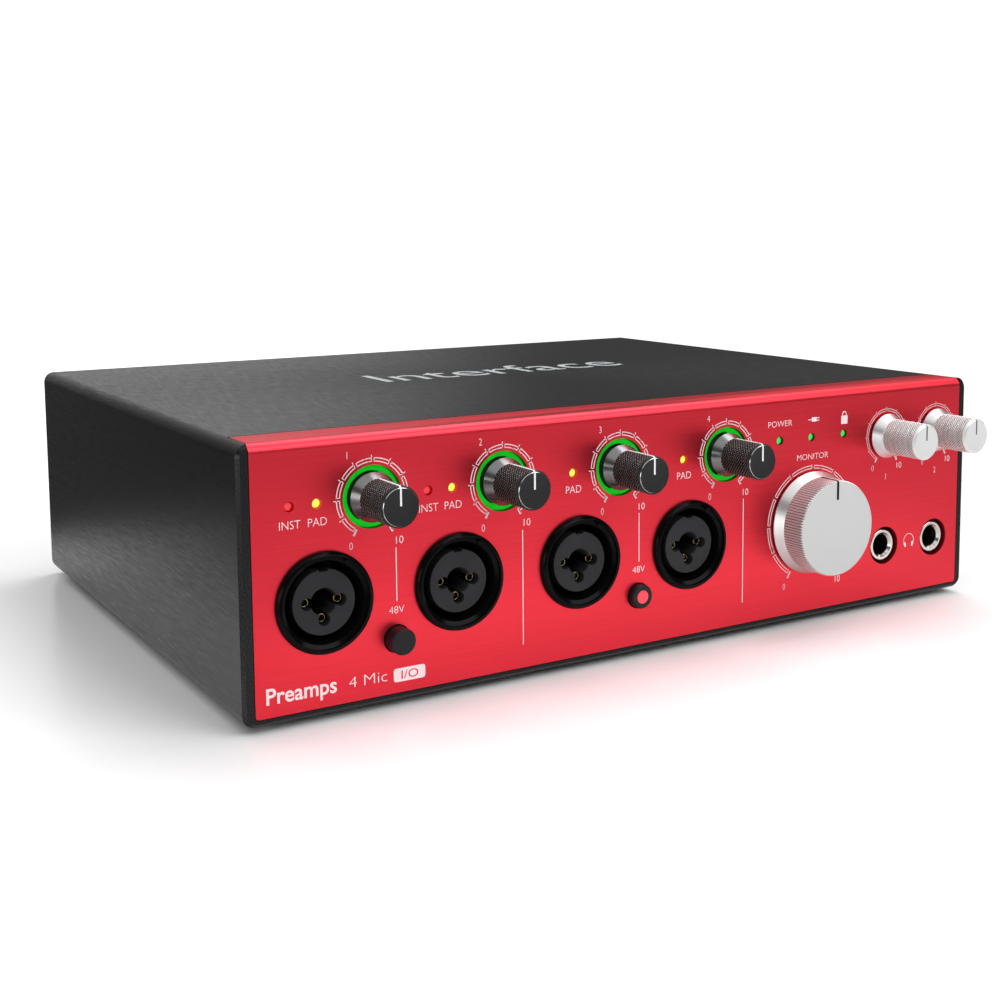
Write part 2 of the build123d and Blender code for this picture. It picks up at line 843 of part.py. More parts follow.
with BuildPart() as bushings:
    with BuildSketch(behind(bushing_setback)):
        with Locations(*[(x, phones_jack_z) for x in phones_x]):
            Circle(bushing_radius)
    extrude(amount=-(bushing_depth - bushing_setback))
    fillet(bushings.faces().group_by(Axis.Y)[0].edges(), bushing_edge)
    # A cone in the mouth guides the plug into the bore.
    for x in phones_x:
        with BuildSketch(turning_plane(x, phones_jack_z)):
            with BuildLine():
                Polyline(
                    (0, bushing_setback),
                    (bushing_cone_radius, bushing_setback),
                    (plug_bore_radius, bushing_setback + bushing_cone_depth),
                    (plug_bore_radius, bushing_depth),
                    (0, bushing_depth),
                    close=True,
                )
            make_face()
        revolve(axis=turning_axis(x, phones_jack_z), mode=Mode.SUBTRACT)
save(bushings, "phones_jack_bushings")

for number, x in enumerate(phones_x, start=1):
    with BuildPart() as jack:
        with BuildSketch(behind(bushing_depth)):
            with Locations((x, phones_jack_z)):
                Rectangle(*phones_body)
        extrude(amount=-(phones_body_depth - bushing_depth))
        with BuildSketch(behind(bushing_depth)):
            with Locations((x, phones_jack_z)):
                Circle(plug_bore_radius)
        extrude(amount=-(phones_bore_depth - bushing_depth), mode=Mode.SUBTRACT)
    save(jack, f"phones_jack_{number}")

# ---------------------------------------------------------------- rear connectors


def in_case(depth=0.0):
    """The rear panel's inner face, moved into the case by depth."""
    return rear.offset(-rear_thickness - depth)


switch_place = (-switch_x, switch_z)
usb_z = board_top_z + usb_shell[1] / 2
optical_z = board_top_z + optical_size[1] / 2
inlet_z = board_top_z + inlet_size[1] / 2
line_places = [(-x, z) for x in line_x for z in line_rows_z]

with BuildPart() as rear_panel:
    with BuildSketch(rear):
        with Locations((0, inner_middle_z)):
            RectangleRounded(
                2 * panel_half_width, inner_height - 2 * slip, panel_foot_radius
            )
    extrude(amount=-rear_thickness)
    with BuildSketch(rear):
        with Locations(*line_places):
            Circle(line_nose_radius + slip)
        with Locations(*[(-x, midi_z) for x in midi_x]):
            Circle(midi_nose_radius + slip)
        with Locations(*[(-coax_x, z) for z in coax_z]):
            Circle(coax_radius + slip)
        with Locations((-optical_x, optical_z)):
            optical_cutout = optical_opening + 2 * (optical_frame + slip)
            Rectangle(optical_cutout, optical_cutout)
        with Locations((-usb_x, usb_z)):
            usb_cutout = [size + 2 * slip for size in usb_shell]
            RectangleRounded(*usb_cutout, usb_shell_corner + slip)
        with Locations((-inlet_x, inlet_z)):
            Circle(inlet_radius + inlet_wall + slip)
        with Locations(switch_place):
            Rectangle(switch_body[0] + 2 * slip, switch_body[1] + 2 * slip)
        with Locations(*[(-x, z) for x, z in rear_screw_places]):
            Circle(screw_radius)
    extrude(amount=-rear_thickness, mode=Mode.SUBTRACT)
save(rear_panel, "rear_panel")

with BuildPart() as line_jacks:
    with BuildSketch(in_case()):
        for low, high in ((board_top_z, line_split_z), (line_split_z + slip, line_top_z)):
            with Locations(*[(-x, (low + high) / 2) for x in line_x]):
                Rectangle(line_body_width, high - low)
    extrude(amount=-line_body_depth)
    with BuildSketch(in_case()):
        with Locations(*line_places):
            Circle(line_nose_radius)
    extrude(amount=rear_thickness + rear_recess / 2)
    with BuildSketch(rear.offset(rear_recess / 2)):
        with Locations(*line_places):
            Circle(line_mouth_radius)
    extrude(amount=-line_mouth_depth, mode=Mode.SUBTRACT)
    with BuildSketch(rear):
        with Locations(*line_places):
            Circle(plug_bore_radius)
    extrude(amount=-line_bore_depth, mode=Mode.SUBTRACT)
save(line_jacks, "line_jacks")

with BuildPart() as midi:
    midi_places = [(-x, midi_z) for x in midi_x]
    with BuildSketch(in_case()):
        with Locations(*[(-x, board_top_z + midi_body[1] / 2) for x in midi_x]):
            Rectangle(*midi_body)
    extrude(amount=-midi_body_depth)
    with BuildSketch(in_case()):
        with Locations(*midi_places):
            Circle(midi_nose_radius)
    extrude(amount=rear_thickness + rear_recess / 2)
    # A round slot for the plug's shell leaves the contact block standing inside it.
    with BuildSketch(rear.offset(rear_recess / 2)):
        with Locations(*midi_places):
            Circle(midi_shell_radius)
    extrude(amount=-midi_face_depth, mode=Mode.SUBTRACT)
    with BuildSketch(rear):
        with Locations(*midi_places):
            Circle(midi_shell_radius)
            Circle(midi_plug_radius, mode=Mode.SUBTRACT)
    extrude(amount=-midi_slot_depth, mode=Mode.SUBTRACT)
    with BuildSketch(rear):
        for place in midi_places:
            with Locations(place):
                with PolarLocations(midi_pin_circle, 5, angular_range=180, endpoint=True):
                    Circle(midi_pin_radius)
                with Locations((0, midi_plug_radius)):
                    Rectangle(*midi_key)
    extrude(amount=-midi_pin_depth, mode=Mode.SUBTRACT)
save(midi, "midi_sockets")

with BuildPart() as coax:
    coax_places = [(-coax_x, z) for z in coax_z]
    with BuildSketch(in_case()):
        with Locations((-coax_x, board_top_z + coax_body[1] / 2)):
            Rectangle(*coax_body)
    extrude(amount=-coax_body_depth)
    with BuildSketch(in_case()):
        with Locations(*coax_places):
            Circle(coax_radius)
    extrude(amount=rear_thickness + rear_recess + coax_reach)
    with BuildSketch(rear):
        with Locations(*coax_places):
            Circle(coax_collar_radius)
    extrude(amount=coax_collar_height)
    with BuildSketch(rear.offset(rear_recess + coax_reach)):
        with Locations(*coax_places):
            Circle(coax_pin_radius)
    extrude(amount=-coax_pin_depth, mode=Mode.SUBTRACT)
    chamfer(coax.faces().group_by(Axis.Y)[-1].edges(), coax_edge)
save(coax, "coax_sockets")

with BuildPart() as optical:
    with BuildSketch(in_case()):
        with Locations((-optical_x, optical_z)):
            Rectangle(*optical_size)
    extrude(amount=-optical_body_depth)
    with BuildSketch(in_case()):
        with Locations((-optical_x, optical_z)):
            optical_nose = optical_opening + 2 * optical_frame
            Rectangle(optical_nose, optical_nose)
    extrude(amount=rear_thickness)
    with BuildSketch(rear):
        with Locations((-optical_x, optical_z)):
            Rectangle(optical_opening, optical_opening)
    extrude(amount=-optical_depth, mode=Mode.SUBTRACT)
save(optical, "optical_socket")

with BuildPart() as usb:
    with BuildSketch(rear):
        with Locations((-usb_x, usb_z)):
            RectangleRounded(*usb_shell, usb_shell_corner)
    extrude(amount=-usb_depth)
    with BuildSketch(rear):
        with Locations((-usb_x, usb_z)):
            RectangleRounded(*usb_opening, usb_corner)
            Rectangle(*usb_tongue, mode=Mode.SUBTRACT)
    extrude(amount=-(usb_depth - usb_back_wall), mode=Mode.SUBTRACT)
save(usb, "usb_socket")

with BuildPart() as inlet:
    with BuildSketch(in_case()):
        with Locations((-inlet_x, inlet_z)):
            Rectangle(*inlet_size)
    extrude(amount=-inlet_body_depth)
    with BuildSketch(in_case()):
        with Locations((-inlet_x, inlet_z)):
            Circle(inlet_radius + inlet_wall)
    extrude(amount=rear_thickness)
    with BuildSketch(rear):
        with Locations((-inlet_x, inlet_z)):
            Circle(inlet_radius)
            Circle(inlet_pin_radius, mode=Mode.SUBTRACT)
    extrude(amount=-inlet_depth, mode=Mode.SUBTRACT)
save(inlet, "power_inlet")

pivot_y = rear_face_y - rocker_pivot_depth

with BuildPart() as switch_frame:
    with BuildSketch(rear):
        with Locations(switch_place):
            RectangleRounded(*switch_bezel, switch_bezel_corner)
    extrude(amount=switch_bezel_height)
    chamfer(switch_frame.faces().sort_by(Axis.Y)[-1].edges(), switch_bezel_chamfer)
    with BuildSketch(rear):
        with Locations(switch_place):
            Rectangle(*switch_body)
    extrude(amount=-switch_depth)
    with BuildSketch(rear.offset(switch_bezel_height)):
        with Locations(switch_place):
            Rectangle(*switch_opening)
    extrude(amount=switch_back_wall - switch_bezel_height - switch_depth, mode=Mode.SUBTRACT)
    # Blind bearings for the rocker's pins, in both cheeks
    with BuildSketch(Plane(origin=(switch_x, pivot_y, switch_z), z_dir=(1, 0, 0))):
        Circle(rocker_pin_radius + shaft_play)
    extrude(amount=rocker_pin_reach, both=True, mode=Mode.SUBTRACT)
save(switch_frame, "power_switch_frame")

# The rocker rests with its upper half pressed in; its section is drawn in its own
# tilted plane, first across the rocker and then outwards.
tilt = radians(rocker_tilt)
rocker_plane = Plane(
    origin=(switch_x, pivot_y, switch_z),
    x_dir=(0, -sin(tilt), cos(tilt)),
    z_dir=(-1, 0, 0),
)
with BuildPart() as rocker:
    wing_drop = rocker_half_length * sin(tilt)
    with BuildSketch(rocker_plane):
        with BuildLine():
            Polyline(
                (-rocker_half_length, rocker_crown - wing_drop),
                (0, rocker_crown),
                (rocker_half_length, rocker_crown - wing_drop),
                (rocker_half_length, -rocker_keel),
                (-rocker_half_length, -rocker_keel),
                close=True,
            )
        make_face()
    extrude(amount=rocker_half_width, both=True)
    with BuildSketch(Plane(origin=(switch_x, pivot_y, switch_z), z_dir=(1, 0, 0))):
        Circle(rocker_pin_radius)
    extrude(amount=rocker_pin_reach - rocker_pin_end_gap, both=True)
save(rocker, "power_rocker")
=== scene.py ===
"""Looks for the desktop audio interface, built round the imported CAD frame.

Metres, +X right for a person facing the front, the front faces -Y, +Z is up. Sizes are named in
millimetres and turned into metres by MM. The CAD nodes keep their shape and get materials here.
The knobs are turned again with real knurling, and the printed markings are thin solids of ink.
"""

from math import cos, floor, pi, radians, sin
from typing import NamedTuple

import bmesh
import bpy
from mathutils import Matrix, Vector


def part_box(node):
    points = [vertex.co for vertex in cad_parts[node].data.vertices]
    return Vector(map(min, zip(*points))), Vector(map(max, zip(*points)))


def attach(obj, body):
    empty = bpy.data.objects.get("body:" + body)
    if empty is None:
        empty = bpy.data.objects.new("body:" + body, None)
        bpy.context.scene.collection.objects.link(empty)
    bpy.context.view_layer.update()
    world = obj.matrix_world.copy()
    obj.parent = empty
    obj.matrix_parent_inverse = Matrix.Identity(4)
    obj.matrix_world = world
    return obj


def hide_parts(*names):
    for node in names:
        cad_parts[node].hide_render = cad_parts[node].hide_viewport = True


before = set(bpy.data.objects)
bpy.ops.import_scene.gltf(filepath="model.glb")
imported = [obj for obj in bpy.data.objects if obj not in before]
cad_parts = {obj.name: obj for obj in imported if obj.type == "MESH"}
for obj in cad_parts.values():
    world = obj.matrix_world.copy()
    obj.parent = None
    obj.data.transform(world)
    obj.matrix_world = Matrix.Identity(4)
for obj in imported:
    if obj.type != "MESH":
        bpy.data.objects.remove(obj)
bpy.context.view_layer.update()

MM = 0.001

# ---------------------------------------------------------------- places, read from the frame


def centre_of(node):
    low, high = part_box(node)
    return (low + high) / 2


def reach_of(node):
    """How far a node stands out from the red face."""
    return FACE_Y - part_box(node)[0].y


FACE_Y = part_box("front_panel")[0].y
REAR_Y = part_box("rear_panel")[1].y
TOP_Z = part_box("outer_sleeve")[1].z
GAIN = [centre_of(f"gain_knob_{n}") for n in range(1, 5)]
PHONES = [centre_of(f"phones_knob_{n}") for n in (1, 2)]
MONITOR = centre_of("monitor_knob")
PHANTOM = [centre_of(f"phantom_button_{n}") for n in (1, 2)]

# ---------------------------------------------------------------- node materials

NOISE_LOW = 0.3  # most of a noise texture lies between these two values
NOISE_HIGH = 0.7


def new_material(name, **settings):
    """A Principled material; settings are its sockets, with spaces written as underscores."""
    material = bpy.data.materials.new(name)
    material.use_nodes = True
    shader = material.node_tree.nodes["Principled BSDF"]
    for socket, value in settings.items():
        if isinstance(value, tuple):
            value = (*value, 1.0)
        shader.inputs[socket.replace("_", " ")].default_value = value
    return material


def node(tree, kind, **inputs):
    """A new shader node with its input sockets set by name."""
    made = tree.nodes.new(kind)
    for socket, value in inputs.items():
        made.inputs[socket.replace("_", " ")].default_value = value
    return made


def shader_of(material):
    return material.node_tree.nodes["Principled BSDF"]


def vector_math(tree, operation, value, other=None):
    """A vector calculation with a linked value and, for some, a second fixed one."""
    made = node(tree, "ShaderNodeVectorMath")
    made.operation = operation
    tree.links.new(value, made.inputs[0])
    if other is not None:
        made.inputs[1].default_value = other
    return made


def noise(material, grain, detail=3.0, vector=None):
    """Noise over the object's own coordinates. grain is its spacing in mm along x, y and z."""
    tree = material.node_tree
    if vector is None:
        vector = tree.nodes.new("ShaderNodeTexCoord").outputs["Object"]
    stretch = node(tree, "ShaderNodeMapping")
    stretch.inputs["Scale"].default_value = [1 / (spacing * MM) for spacing in grain]
    tree.links.new(vector, stretch.inputs["Vector"])
    made = node(tree, "ShaderNodeTexNoise", Scale=1.0, Detail=detail, Roughness=0.6)
    tree.links.new(stretch.outputs["Vector"], made.inputs["Vector"])
    return made.outputs["Fac"]


def ramp(material, value, stops):
    """A colour ramp fed by value; stops are (position, colour)."""
    tree = material.node_tree
    made = tree.nodes.new("ShaderNodeValToRGB")
    elements = made.color_ramp.elements
    while len(elements) < len(stops):
        elements.new(0.5)
    for element, (position, colour) in zip(elements, stops):
        element.position = position
        element.color = (*colour, 1.0)
    tree.links.new(value, made.inputs["Fac"])
    return made.outputs["Color"]


def spread(material, value, low, high):
    """A noise value turned into low to high."""
    tree = material.node_tree
    made = node(tree, "ShaderNodeMapRange", From_Min=NOISE_LOW, From_Max=NOISE_HIGH)
    made.inputs["To Min"].default_value = low
    made.inputs["To Max"].default_value = high
    tree.links.new(value, made.inputs["Value"])
    return made.outputs["Result"]


def feed(material, socket, output):
    material.node_tree.links.new(output, shader_of(material).inputs[socket])


def bump(material, height, depth, strength=1.0):
    """Small relief on the surface; depth is in mm."""
    tree = material.node_tree
    made = node(tree, "ShaderNodeBump", Strength=strength, Distance=depth * MM)
    tree.links.new(height, made.inputs["Height"])
    feed(material, "Normal", made.outputs["Normal"])


def shades(colour, contrast):
    """Ramp stops for noise: from a darker to a lighter shade of one colour."""
    dark = tuple(channel * (1 - contrast) for channel in colour)
    light = tuple(channel * (1 + contrast) for channel in colour)
    return [(NOISE_LOW, dark), (NOISE_HIGH, light)]


def brushed(name, colour, grain, rough=(0.3, 0.45), contrast=0.2, depth=0.004, **settings):
    """Brushed metal: fine parallel scratches in its colour, gloss and relief."""
    material = new_material(name, Metallic=1.0, **settings)
    scratches = noise(material, grain, 4.0)
    feed(material, "Base Color", ramp(material, scratches, shades(colour, contrast)))
    feed(material, "Roughness", spread(material, scratches, *rough))
    bump(material, scratches, depth)
    return material


def moulded(name, colour, rough=(0.35, 0.45), grain=0.35, depth=0.01, contrast=0.15, **settings):
    """Moulded plastic or rubber: a fine even texture, with slight cloudiness in the colour."""
    material = new_material(name, **settings)
    cloud = noise(material, (9.0, 9.0, 9.0), 2.0)
    feed(material, "Base Color", ramp(material, cloud, shades(colour, contrast)))
    pores = noise(material, (grain, grain, grain), 2.0)
    feed(material, "Roughness", spread(material, pores, *rough))
    bump(material, pores, depth)
    return material


def lit(name, colour, glow, strength, grain=0.8, **settings):
    """A translucent part with light behind it, uneven as moulded light guides are."""
    material = new_material(name, Roughness=0.3, Emission_Strength=strength, **settings)
    cloud = noise(material, (grain, grain, grain), 1.0)
    feed(material, "Base Color", ramp(material, cloud, shades(colour, 0.1)))
    feed(material, "Emission Color", ramp(material, cloud, shades(glow, 0.12)))
    return material


def spun(name, colour, rough=(0.22, 0.34), contrast=0.06, depth=0.002, metallic=1.0):
    """Turned metal: scratches that run round the local y axis."""
    material = new_material(name, Metallic=metallic)
    tree = material.node_tree
    local = node(tree, "ShaderNodeSeparateXYZ")
    coordinates = tree.nodes.new("ShaderNodeTexCoord")
    tree.links.new(coordinates.outputs["Object"], local.inputs["Vector"])
    flat = node(tree, "ShaderNodeCombineXYZ")
    tree.links.new(local.outputs["X"], flat.inputs["X"])
    tree.links.new(local.outputs["Z"], flat.inputs["Z"])
    radius = vector_math(tree, "LENGTH", flat.outputs["Vector"])
    rings = node(tree, "ShaderNodeCombineXYZ")
    tree.links.new(radius.outputs["Value"], rings.inputs["X"])
    tree.links.new(local.outputs["Y"], rings.inputs["Y"])
    scratches = noise(material, (0.09, 0.09, 1.0), 3.0, rings.outputs["Vector"])
    feed(material, "Base Color", ramp(material, scratches, shades(colour, contrast)))
    feed(material, "Roughness", spread(material, scratches, *rough))
    bump(material, scratches, depth)
    return material


def circuit(name):
    """Green solder mask with faint copper tracks under it."""
    material = new_material(name, Specular_IOR_Level=0.5)
    tree = material.node_tree
    coordinates = tree.nodes.new("ShaderNodeTexCoord")
    cells = node(tree, "ShaderNodeTexVoronoi", Scale=260.0)
    cells.distance = "MANHATTAN"
    cells.feature = "F1"
    tree.links.new(coordinates.outputs["Object"], cells.inputs["Vector"])
    pad, track, mask = (0.5, 0.45, 0.3), (0.02, 0.14, 0.05), (0.004, 0.07, 0.03)
    stops = [(0.0, pad), (0.06, track), (0.3, track), (0.36, mask)]
    feed(material, "Base Color", ramp(material, cells.outputs["Distance"], stops))
    feed(material, "Roughness", spread(material, noise(material, (2.0, 2.0, 2.0)), 0.3, 0.42))
    return material


# ---------------------------------------------------------------- the materials themselves

# Spacing of the grain in mm along x, y and z
ALONG_X = (26.0, 0.12, 0.12)
ALONG_Y = (0.14, 30.0, 0.14)
CASE_GRAIN = (0.36, 8.0, 0.36)
EVEN_GRAIN = (0.5, 0.5, 0.5)
FINE_GRAIN = (0.4, 0.4, 0.4)

# The case, the panels and the metal inside
RED = brushed(
    "red_anodised",
    (0.72, 0.036, 0.054),
    ALONG_X,
    rough=(0.34, 0.44),
    contrast=0.08,
    depth=0.0012,
    Anisotropic=0.35,
)
BLACK_CASE = brushed(
    "black_anodised",
    (0.0255, 0.0255, 0.026),
    CASE_GRAIN,
    rough=(0.27, 0.45),
    contrast=0.65,
    depth=0.014,
    Anisotropic=0.3,
)
REAR_BLACK = moulded(
    "rear_powder_coat", (0.012, 0.012, 0.013), rough=(0.38, 0.5), grain=0.5, depth=0.03
)
STEEL = brushed("zinc_steel", (0.55, 0.55, 0.54), ALONG_X, rough=(0.28, 0.42), contrast=0.12)
SCREW_BLACK = brushed(
    "black_zinc", (0.03, 0.03, 0.033), EVEN_GRAIN, rough=(0.25, 0.4), contrast=0.3
)
SHAFT = brushed("shaft_steel", (0.6, 0.6, 0.6), ALONG_Y, rough=(0.2, 0.35), contrast=0.1)
SINK = brushed("sink_aluminium", (0.55, 0.55, 0.56), ALONG_X, rough=(0.35, 0.5), contrast=0.12)
# Gold far darker than real gold: painted shade for the contacts deep inside the combo sockets.
GOLD_PAINTED_SHADE = brushed(
    "contact_gold", (0.2, 0.145, 0.06), FINE_GRAIN, rough=(0.2, 0.3), contrast=0.06, depth=0.001
)
NICKEL = brushed(
    "bright_nickel",
    (0.56, 0.545, 0.515),
    EVEN_GRAIN,
    rough=(0.14, 0.24),
    contrast=0.05,
    depth=0.001,
)
CIRCUIT = circuit("circuit_board")
RIBBON = moulded("ribbon_grey", (0.4, 0.42, 0.44), rough=(0.4, 0.5), grain=0.6)

# The silver knobs
KNOB_METAL = spun("knob_aluminium", (0.6, 0.61, 0.62), rough=(0.36, 0.46), metallic=0.45)
# The dark groove copies below are painted shade for the hollows of the knurl.
KNOB_GROOVE_PAINTED_SHADE = spun(
    "knob_aluminium_groove_painted_shade", (0.09, 0.085, 0.088), rough=(0.4, 0.5), metallic=0.5
)
PHONES_METAL = spun(
    "small_knob_aluminium", (0.85, 0.86, 0.86), rough=(0.36, 0.46), metallic=0.5
)
PHONES_GROOVE_PAINTED_SHADE = spun("small_knob_groove_painted_shade", (0.3, 0.29, 0.29), rough=(0.4, 0.5), metallic=0.5)
FACE_FINISH = {"rough": (0.4, 0.5), "contrast": 0.015, "depth": 0.001, "metallic": 0.3}
KNOB_FACE = spun("small_knob_face", (0.68, 0.69, 0.685), **FACE_FINISH)
MONITOR_FACE = spun("monitor_knob_face", (0.53, 0.54, 0.535), **FACE_FINISH)
KNOB_POLISHED = spun(
    "knob_aluminium_polished", (0.66, 0.66, 0.655), rough=(0.33, 0.43), contrast=0.03, depth=0.001
)

# The black knobs
KNOB_BLACK = spun(
    "knob_black_ridge", (0.15, 0.14, 0.14), rough=(0.32, 0.42), contrast=0.15, metallic=0.7
)
KNOB_BLACK_FACE = moulded(
    "knob_black_face",
    (0.008, 0.0082, 0.0095),
    rough=(0.45, 0.55),
    grain=0.25,
    depth=0.005,
    Specular_IOR_Level=0.3,
)
# A near-black copy of the knob for the hollows of its knurl: painted shade.
KNOB_BLACK_GROOVE_PAINTED_SHADE = moulded(
    "knob_black_groove_painted_shade",
    (0.003, 0.003, 0.003),
    rough=(0.5, 0.6),
    grain=0.25,
    depth=0.002,
    Specular_IOR_Level=0.1,
)
KNOB_BLACK_SKIRT = spun("knob_black_skirt", (0.19, 0.19, 0.195), rough=(0.2, 0.3), contrast=0.05)
KNOB_BLACK_RIM = spun("knob_black_rim", (0.5, 0.5, 0.5), rough=(0.12, 0.2), contrast=0.05)

# Black plastic and rubber
SOCKET_GLOSS = moulded(
    "socket_gloss",
    (0.002, 0.002, 0.0022),
    rough=(0.13, 0.2),
    grain=3.0,
    depth=0.003,
    Specular_IOR_Level=0.055,
)
INSERT = moulded(
    "insert_matte",
    (0.019, 0.019, 0.021),
    rough=(0.55, 0.65),
    grain=0.22,
    depth=0.025,
    Specular_IOR_Level=0.22,
)
SOCKET_BLACK = moulded("socket_black", (0.008, 0.008, 0.009), rough=(0.4, 0.5))
CAP_BLACK = moulded(
    "cap_black",
    (0.005, 0.005, 0.0062),
    rough=(0.42, 0.52),
    grain=0.25,
    depth=0.008,
    Specular_IOR_Level=0.25,
)
ROCKER = moulded("rocker_black", (0.01, 0.01, 0.011), rough=(0.25, 0.35))
RUBBER = moulded("foot_rubber", (0.012, 0.012, 0.012), rough=(0.65, 0.8), grain=0.4, depth=0.03)

# Parts with light behind them, and the unlit red lenses, whose glow is painted light: the colour
# of the plastic, then the colour of the light
HALO = lit(
    "halo_light",
    (0.0, 0.14, 0.01),
    glow=(0.0, 0.47, 0.008),
    strength=0.85,
    grain=2.0,
    Specular_IOR_Level=0.15,
)
LAMP_YELLOW = lit(
    "lamp_yellow_light", (0.35, 0.35, 0.02), glow=(0.82, 0.86, 0.1), strength=1.0, grain=0.9
)
LAMP_GREEN = lit(
    "lamp_green_light", (0.0, 0.25, 0.04), glow=(0.01, 0.42, 0.06), strength=1.5, grain=0.9
)
# The instrument lamps are off; this glow is painted light that brightens the red lenses in their
# shaded holes.
RED_LENS_PAINTED_GLOW = lit(
    "red_lens_painted_glow", (0.7, 0.03, 0.045), glow=(0.3, 0.014, 0.022), strength=1.0, grain=0.9
)
BUTTON_LIGHT = lit(
    "button_light", (0.4, 0.02, 0.03), glow=(0.85, 0.035, 0.06), strength=0.9, grain=0.9
)

# Printing inks and the fillings of the pointers
INK = moulded(
    "print_ink", (0.86, 0.7, 0.73), rough=(0.5, 0.6), grain=0.2, depth=0.004, contrast=0.05
)
INK_BLACK = moulded(
    "pointer_black",
    (0.006, 0.006, 0.007),
    rough=(0.4, 0.5),
    grain=0.2,
    depth=0.003,
    Specular_IOR_Level=0.1,
)
POINTER_GREY = moulded(
    "pointer_grey", (0.06, 0.06, 0.065), rough=(0.4, 0.5), grain=0.2, depth=0.003
)
INK_WHITE = moulded(
    "pointer_white", (0.85, 0.85, 0.85), rough=(0.4, 0.5), grain=0.2, depth=0.003, contrast=0.04
)
INK_GREY = moulded(
    "top_ink", (0.42, 0.44, 0.45), rough=(0.4, 0.5), grain=0.4, depth=0.006, contrast=0.08
)

CAD_LOOKS = {
    "outer_sleeve": BLACK_CASE,
    "front_panel": RED,
    "rear_panel": REAR_BLACK,
    "front_bracket": STEEL,
    "chassis_tray": STEEL,
    "board_standoffs": STEEL,
    "board_screws": STEEL,
    "usb_socket": STEEL,
    "rear_panel_screws": SCREW_BLACK,
    "main_board": CIRCUIT,
    "control_board": CIRCUIT,
    "heat_sink": SINK,
    "ribbon_cable": RIBBON,
    "combo_contacts": GOLD_PAINTED_SHADE,
    "phones_jack_bushings": NICKEL,
    "coax_sockets": NICKEL,
    "power_rocker": ROCKER,
    "instrument_lamps": RED_LENS_PAINTED_GLOW,
    "channel_lamps": LAMP_YELLOW,
    "status_lamps": LAMP_GREEN,
    "rubber_feet": RUBBER,
    "phantom_button": CAP_BLACK,
    "combo_housing": SOCKET_GLOSS,
    "combo_insert": INSERT,
    "halo_ring": HALO,
    "gain_shaft": SHAFT,
    "monitor_shaft": SHAFT,
    "phones_shaft": SHAFT,
}


def dress_cad_nodes():
    """Gives each CAD node its material. What isn't named above is black moulded plastic."""
    for name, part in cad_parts.items():
        family = name.rstrip("0123456789").rstrip("_")
        look = CAD_LOOKS.get(name) or CAD_LOOKS.get(family) or SOCKET_BLACK
        part.data.materials.clear()
        part.data.materials.append(look)


# ---------------------------------------------------------------- mesh building


def make_object(name, mesh, looks, place=(0.0, 0.0, 0.0)):
    piece = bpy.data.objects.new(name, mesh)
    bpy.context.collection.objects.link(piece)
    for look in looks:
        mesh.materials.append(look)
    piece.location = place
    return piece


def finish_piece(piece, body, slot, *nodes):
    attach(piece, body)
    if nodes:
        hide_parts(*nodes)


def mesh_from(bm, name, smooth_angle=35.0):
    bmesh.ops.recalc_face_normals(bm, faces=bm.faces[:])
    mesh = bpy.data.meshes.new(name)
    bm.to_mesh(mesh)
    bm.free()
    mesh.shade_smooth()
    mesh.set_sharp_from_angle(angle=radians(smooth_angle))
    return mesh


def subdivided(profile, longest):
    """The profile's points, with extra ones so that no knurled step is longer than longest."""
    points = [profile[0]]
    for (r0, d0, _), (r1, d1, kind) in zip(profile, profile[1:]):
        length = max(abs(r1 - r0), abs(d1 - d0))
        steps = max(1, round(length / longest)) if kind == "knurl" else 1
        for step in range(1, steps + 1):
            share = step / steps
            points.append((r0 + share * (r1 - r0), d0 + share * (d1 - d0), kind))
    return points


# Where each kind of surface on a turned body finds its look, and how deep its knurl is cut
FINISHES = {"knurl": 0, "plain": 0, "face": 1, "skirt": 2, "rim": 3, "teeth": 3}
# Faces cut deep into a knurl take the look at this index: painted shade in the grooves.
SHADED_GROOVE = 4
CUT_SHARES = {"knurl": 1.0, "teeth": 0.4}
TURNED_SMOOTH_ANGLE = 28.0


def turned(name, profile, sides, relief, looks, place, groove=0.0):
    """A closed turned body about the y axis through place. profile is (radius, reach, kind) in mm
    from the back to the front; kind "knurl" is cut by relief(angle, reach), "teeth" less deeply,
    and FINISHES gives each kind its place in looks. Faces cut deeper than groove mm take the
    fifth look, a darker one: painted shade in the hollows of the knurl."""
    bm = bmesh.new()
    rings, cuts = [], {}
    for radius, reach, kind in profile:
        if radius == 0.0:
            rings.append([bm.verts.new((0.0, -reach * MM, 0.0))])
            continue
        ring = []
        for side in range(sides):
            angle = 2 * pi * side / sides
            cut = relief(angle, reach) if kind in CUT_SHARES else 0.0
            cut *= CUT_SHARES.get(kind, 0.0)
            r = (radius - cut) * MM
            ring.append(bm.verts.new((r * sin(angle), -reach * MM, r * cos(angle))))
            cuts[ring[-1]] = cut
        rings.append(ring)
    for index, (near, far) in enumerate(zip(rings, rings[1:])):
        kind = profile[index + 1][2]
        for side in range(sides):
            after = (side + 1) % sides
            corners = [near[side % len(near)], near[after % len(near)]]
            corners += [far[after % len(far)], far[side % len(far)]]
            unique = list(dict.fromkeys(corners))
            made = bm.faces.new(unique)
            # Deep faces of the knurl get the darker look, which paints shade into the grooves.
            deep = kind in CUT_SHARES and sum(cuts[v] for v in unique) / len(unique) > groove
            made.material_index = SHADED_GROOVE if deep else FINISHES[kind]
    return make_object(name, mesh_from(bm, name, TURNED_SMOOTH_ANGLE), looks, place)


def triangle_wave(turns):
    """0 at whole turns, 1 half way between them."""
    return 2 * abs(turns - floor(turns + 0.5))


def diamond_knurl(cells, pitch, depth):
    """Crossed grooves: cells round the barrel, pitch mm apart along it."""
    wall = 1.7  # steepness of the grooves' walls

    def relief(angle, reach):
        across, along = cells * angle / (2 * pi), reach / pitch
        height = min(triangle_wave(across + along), triangle_wave(across - along))
        return depth * (1.0 - min(1.0, wall * height))

    return relief


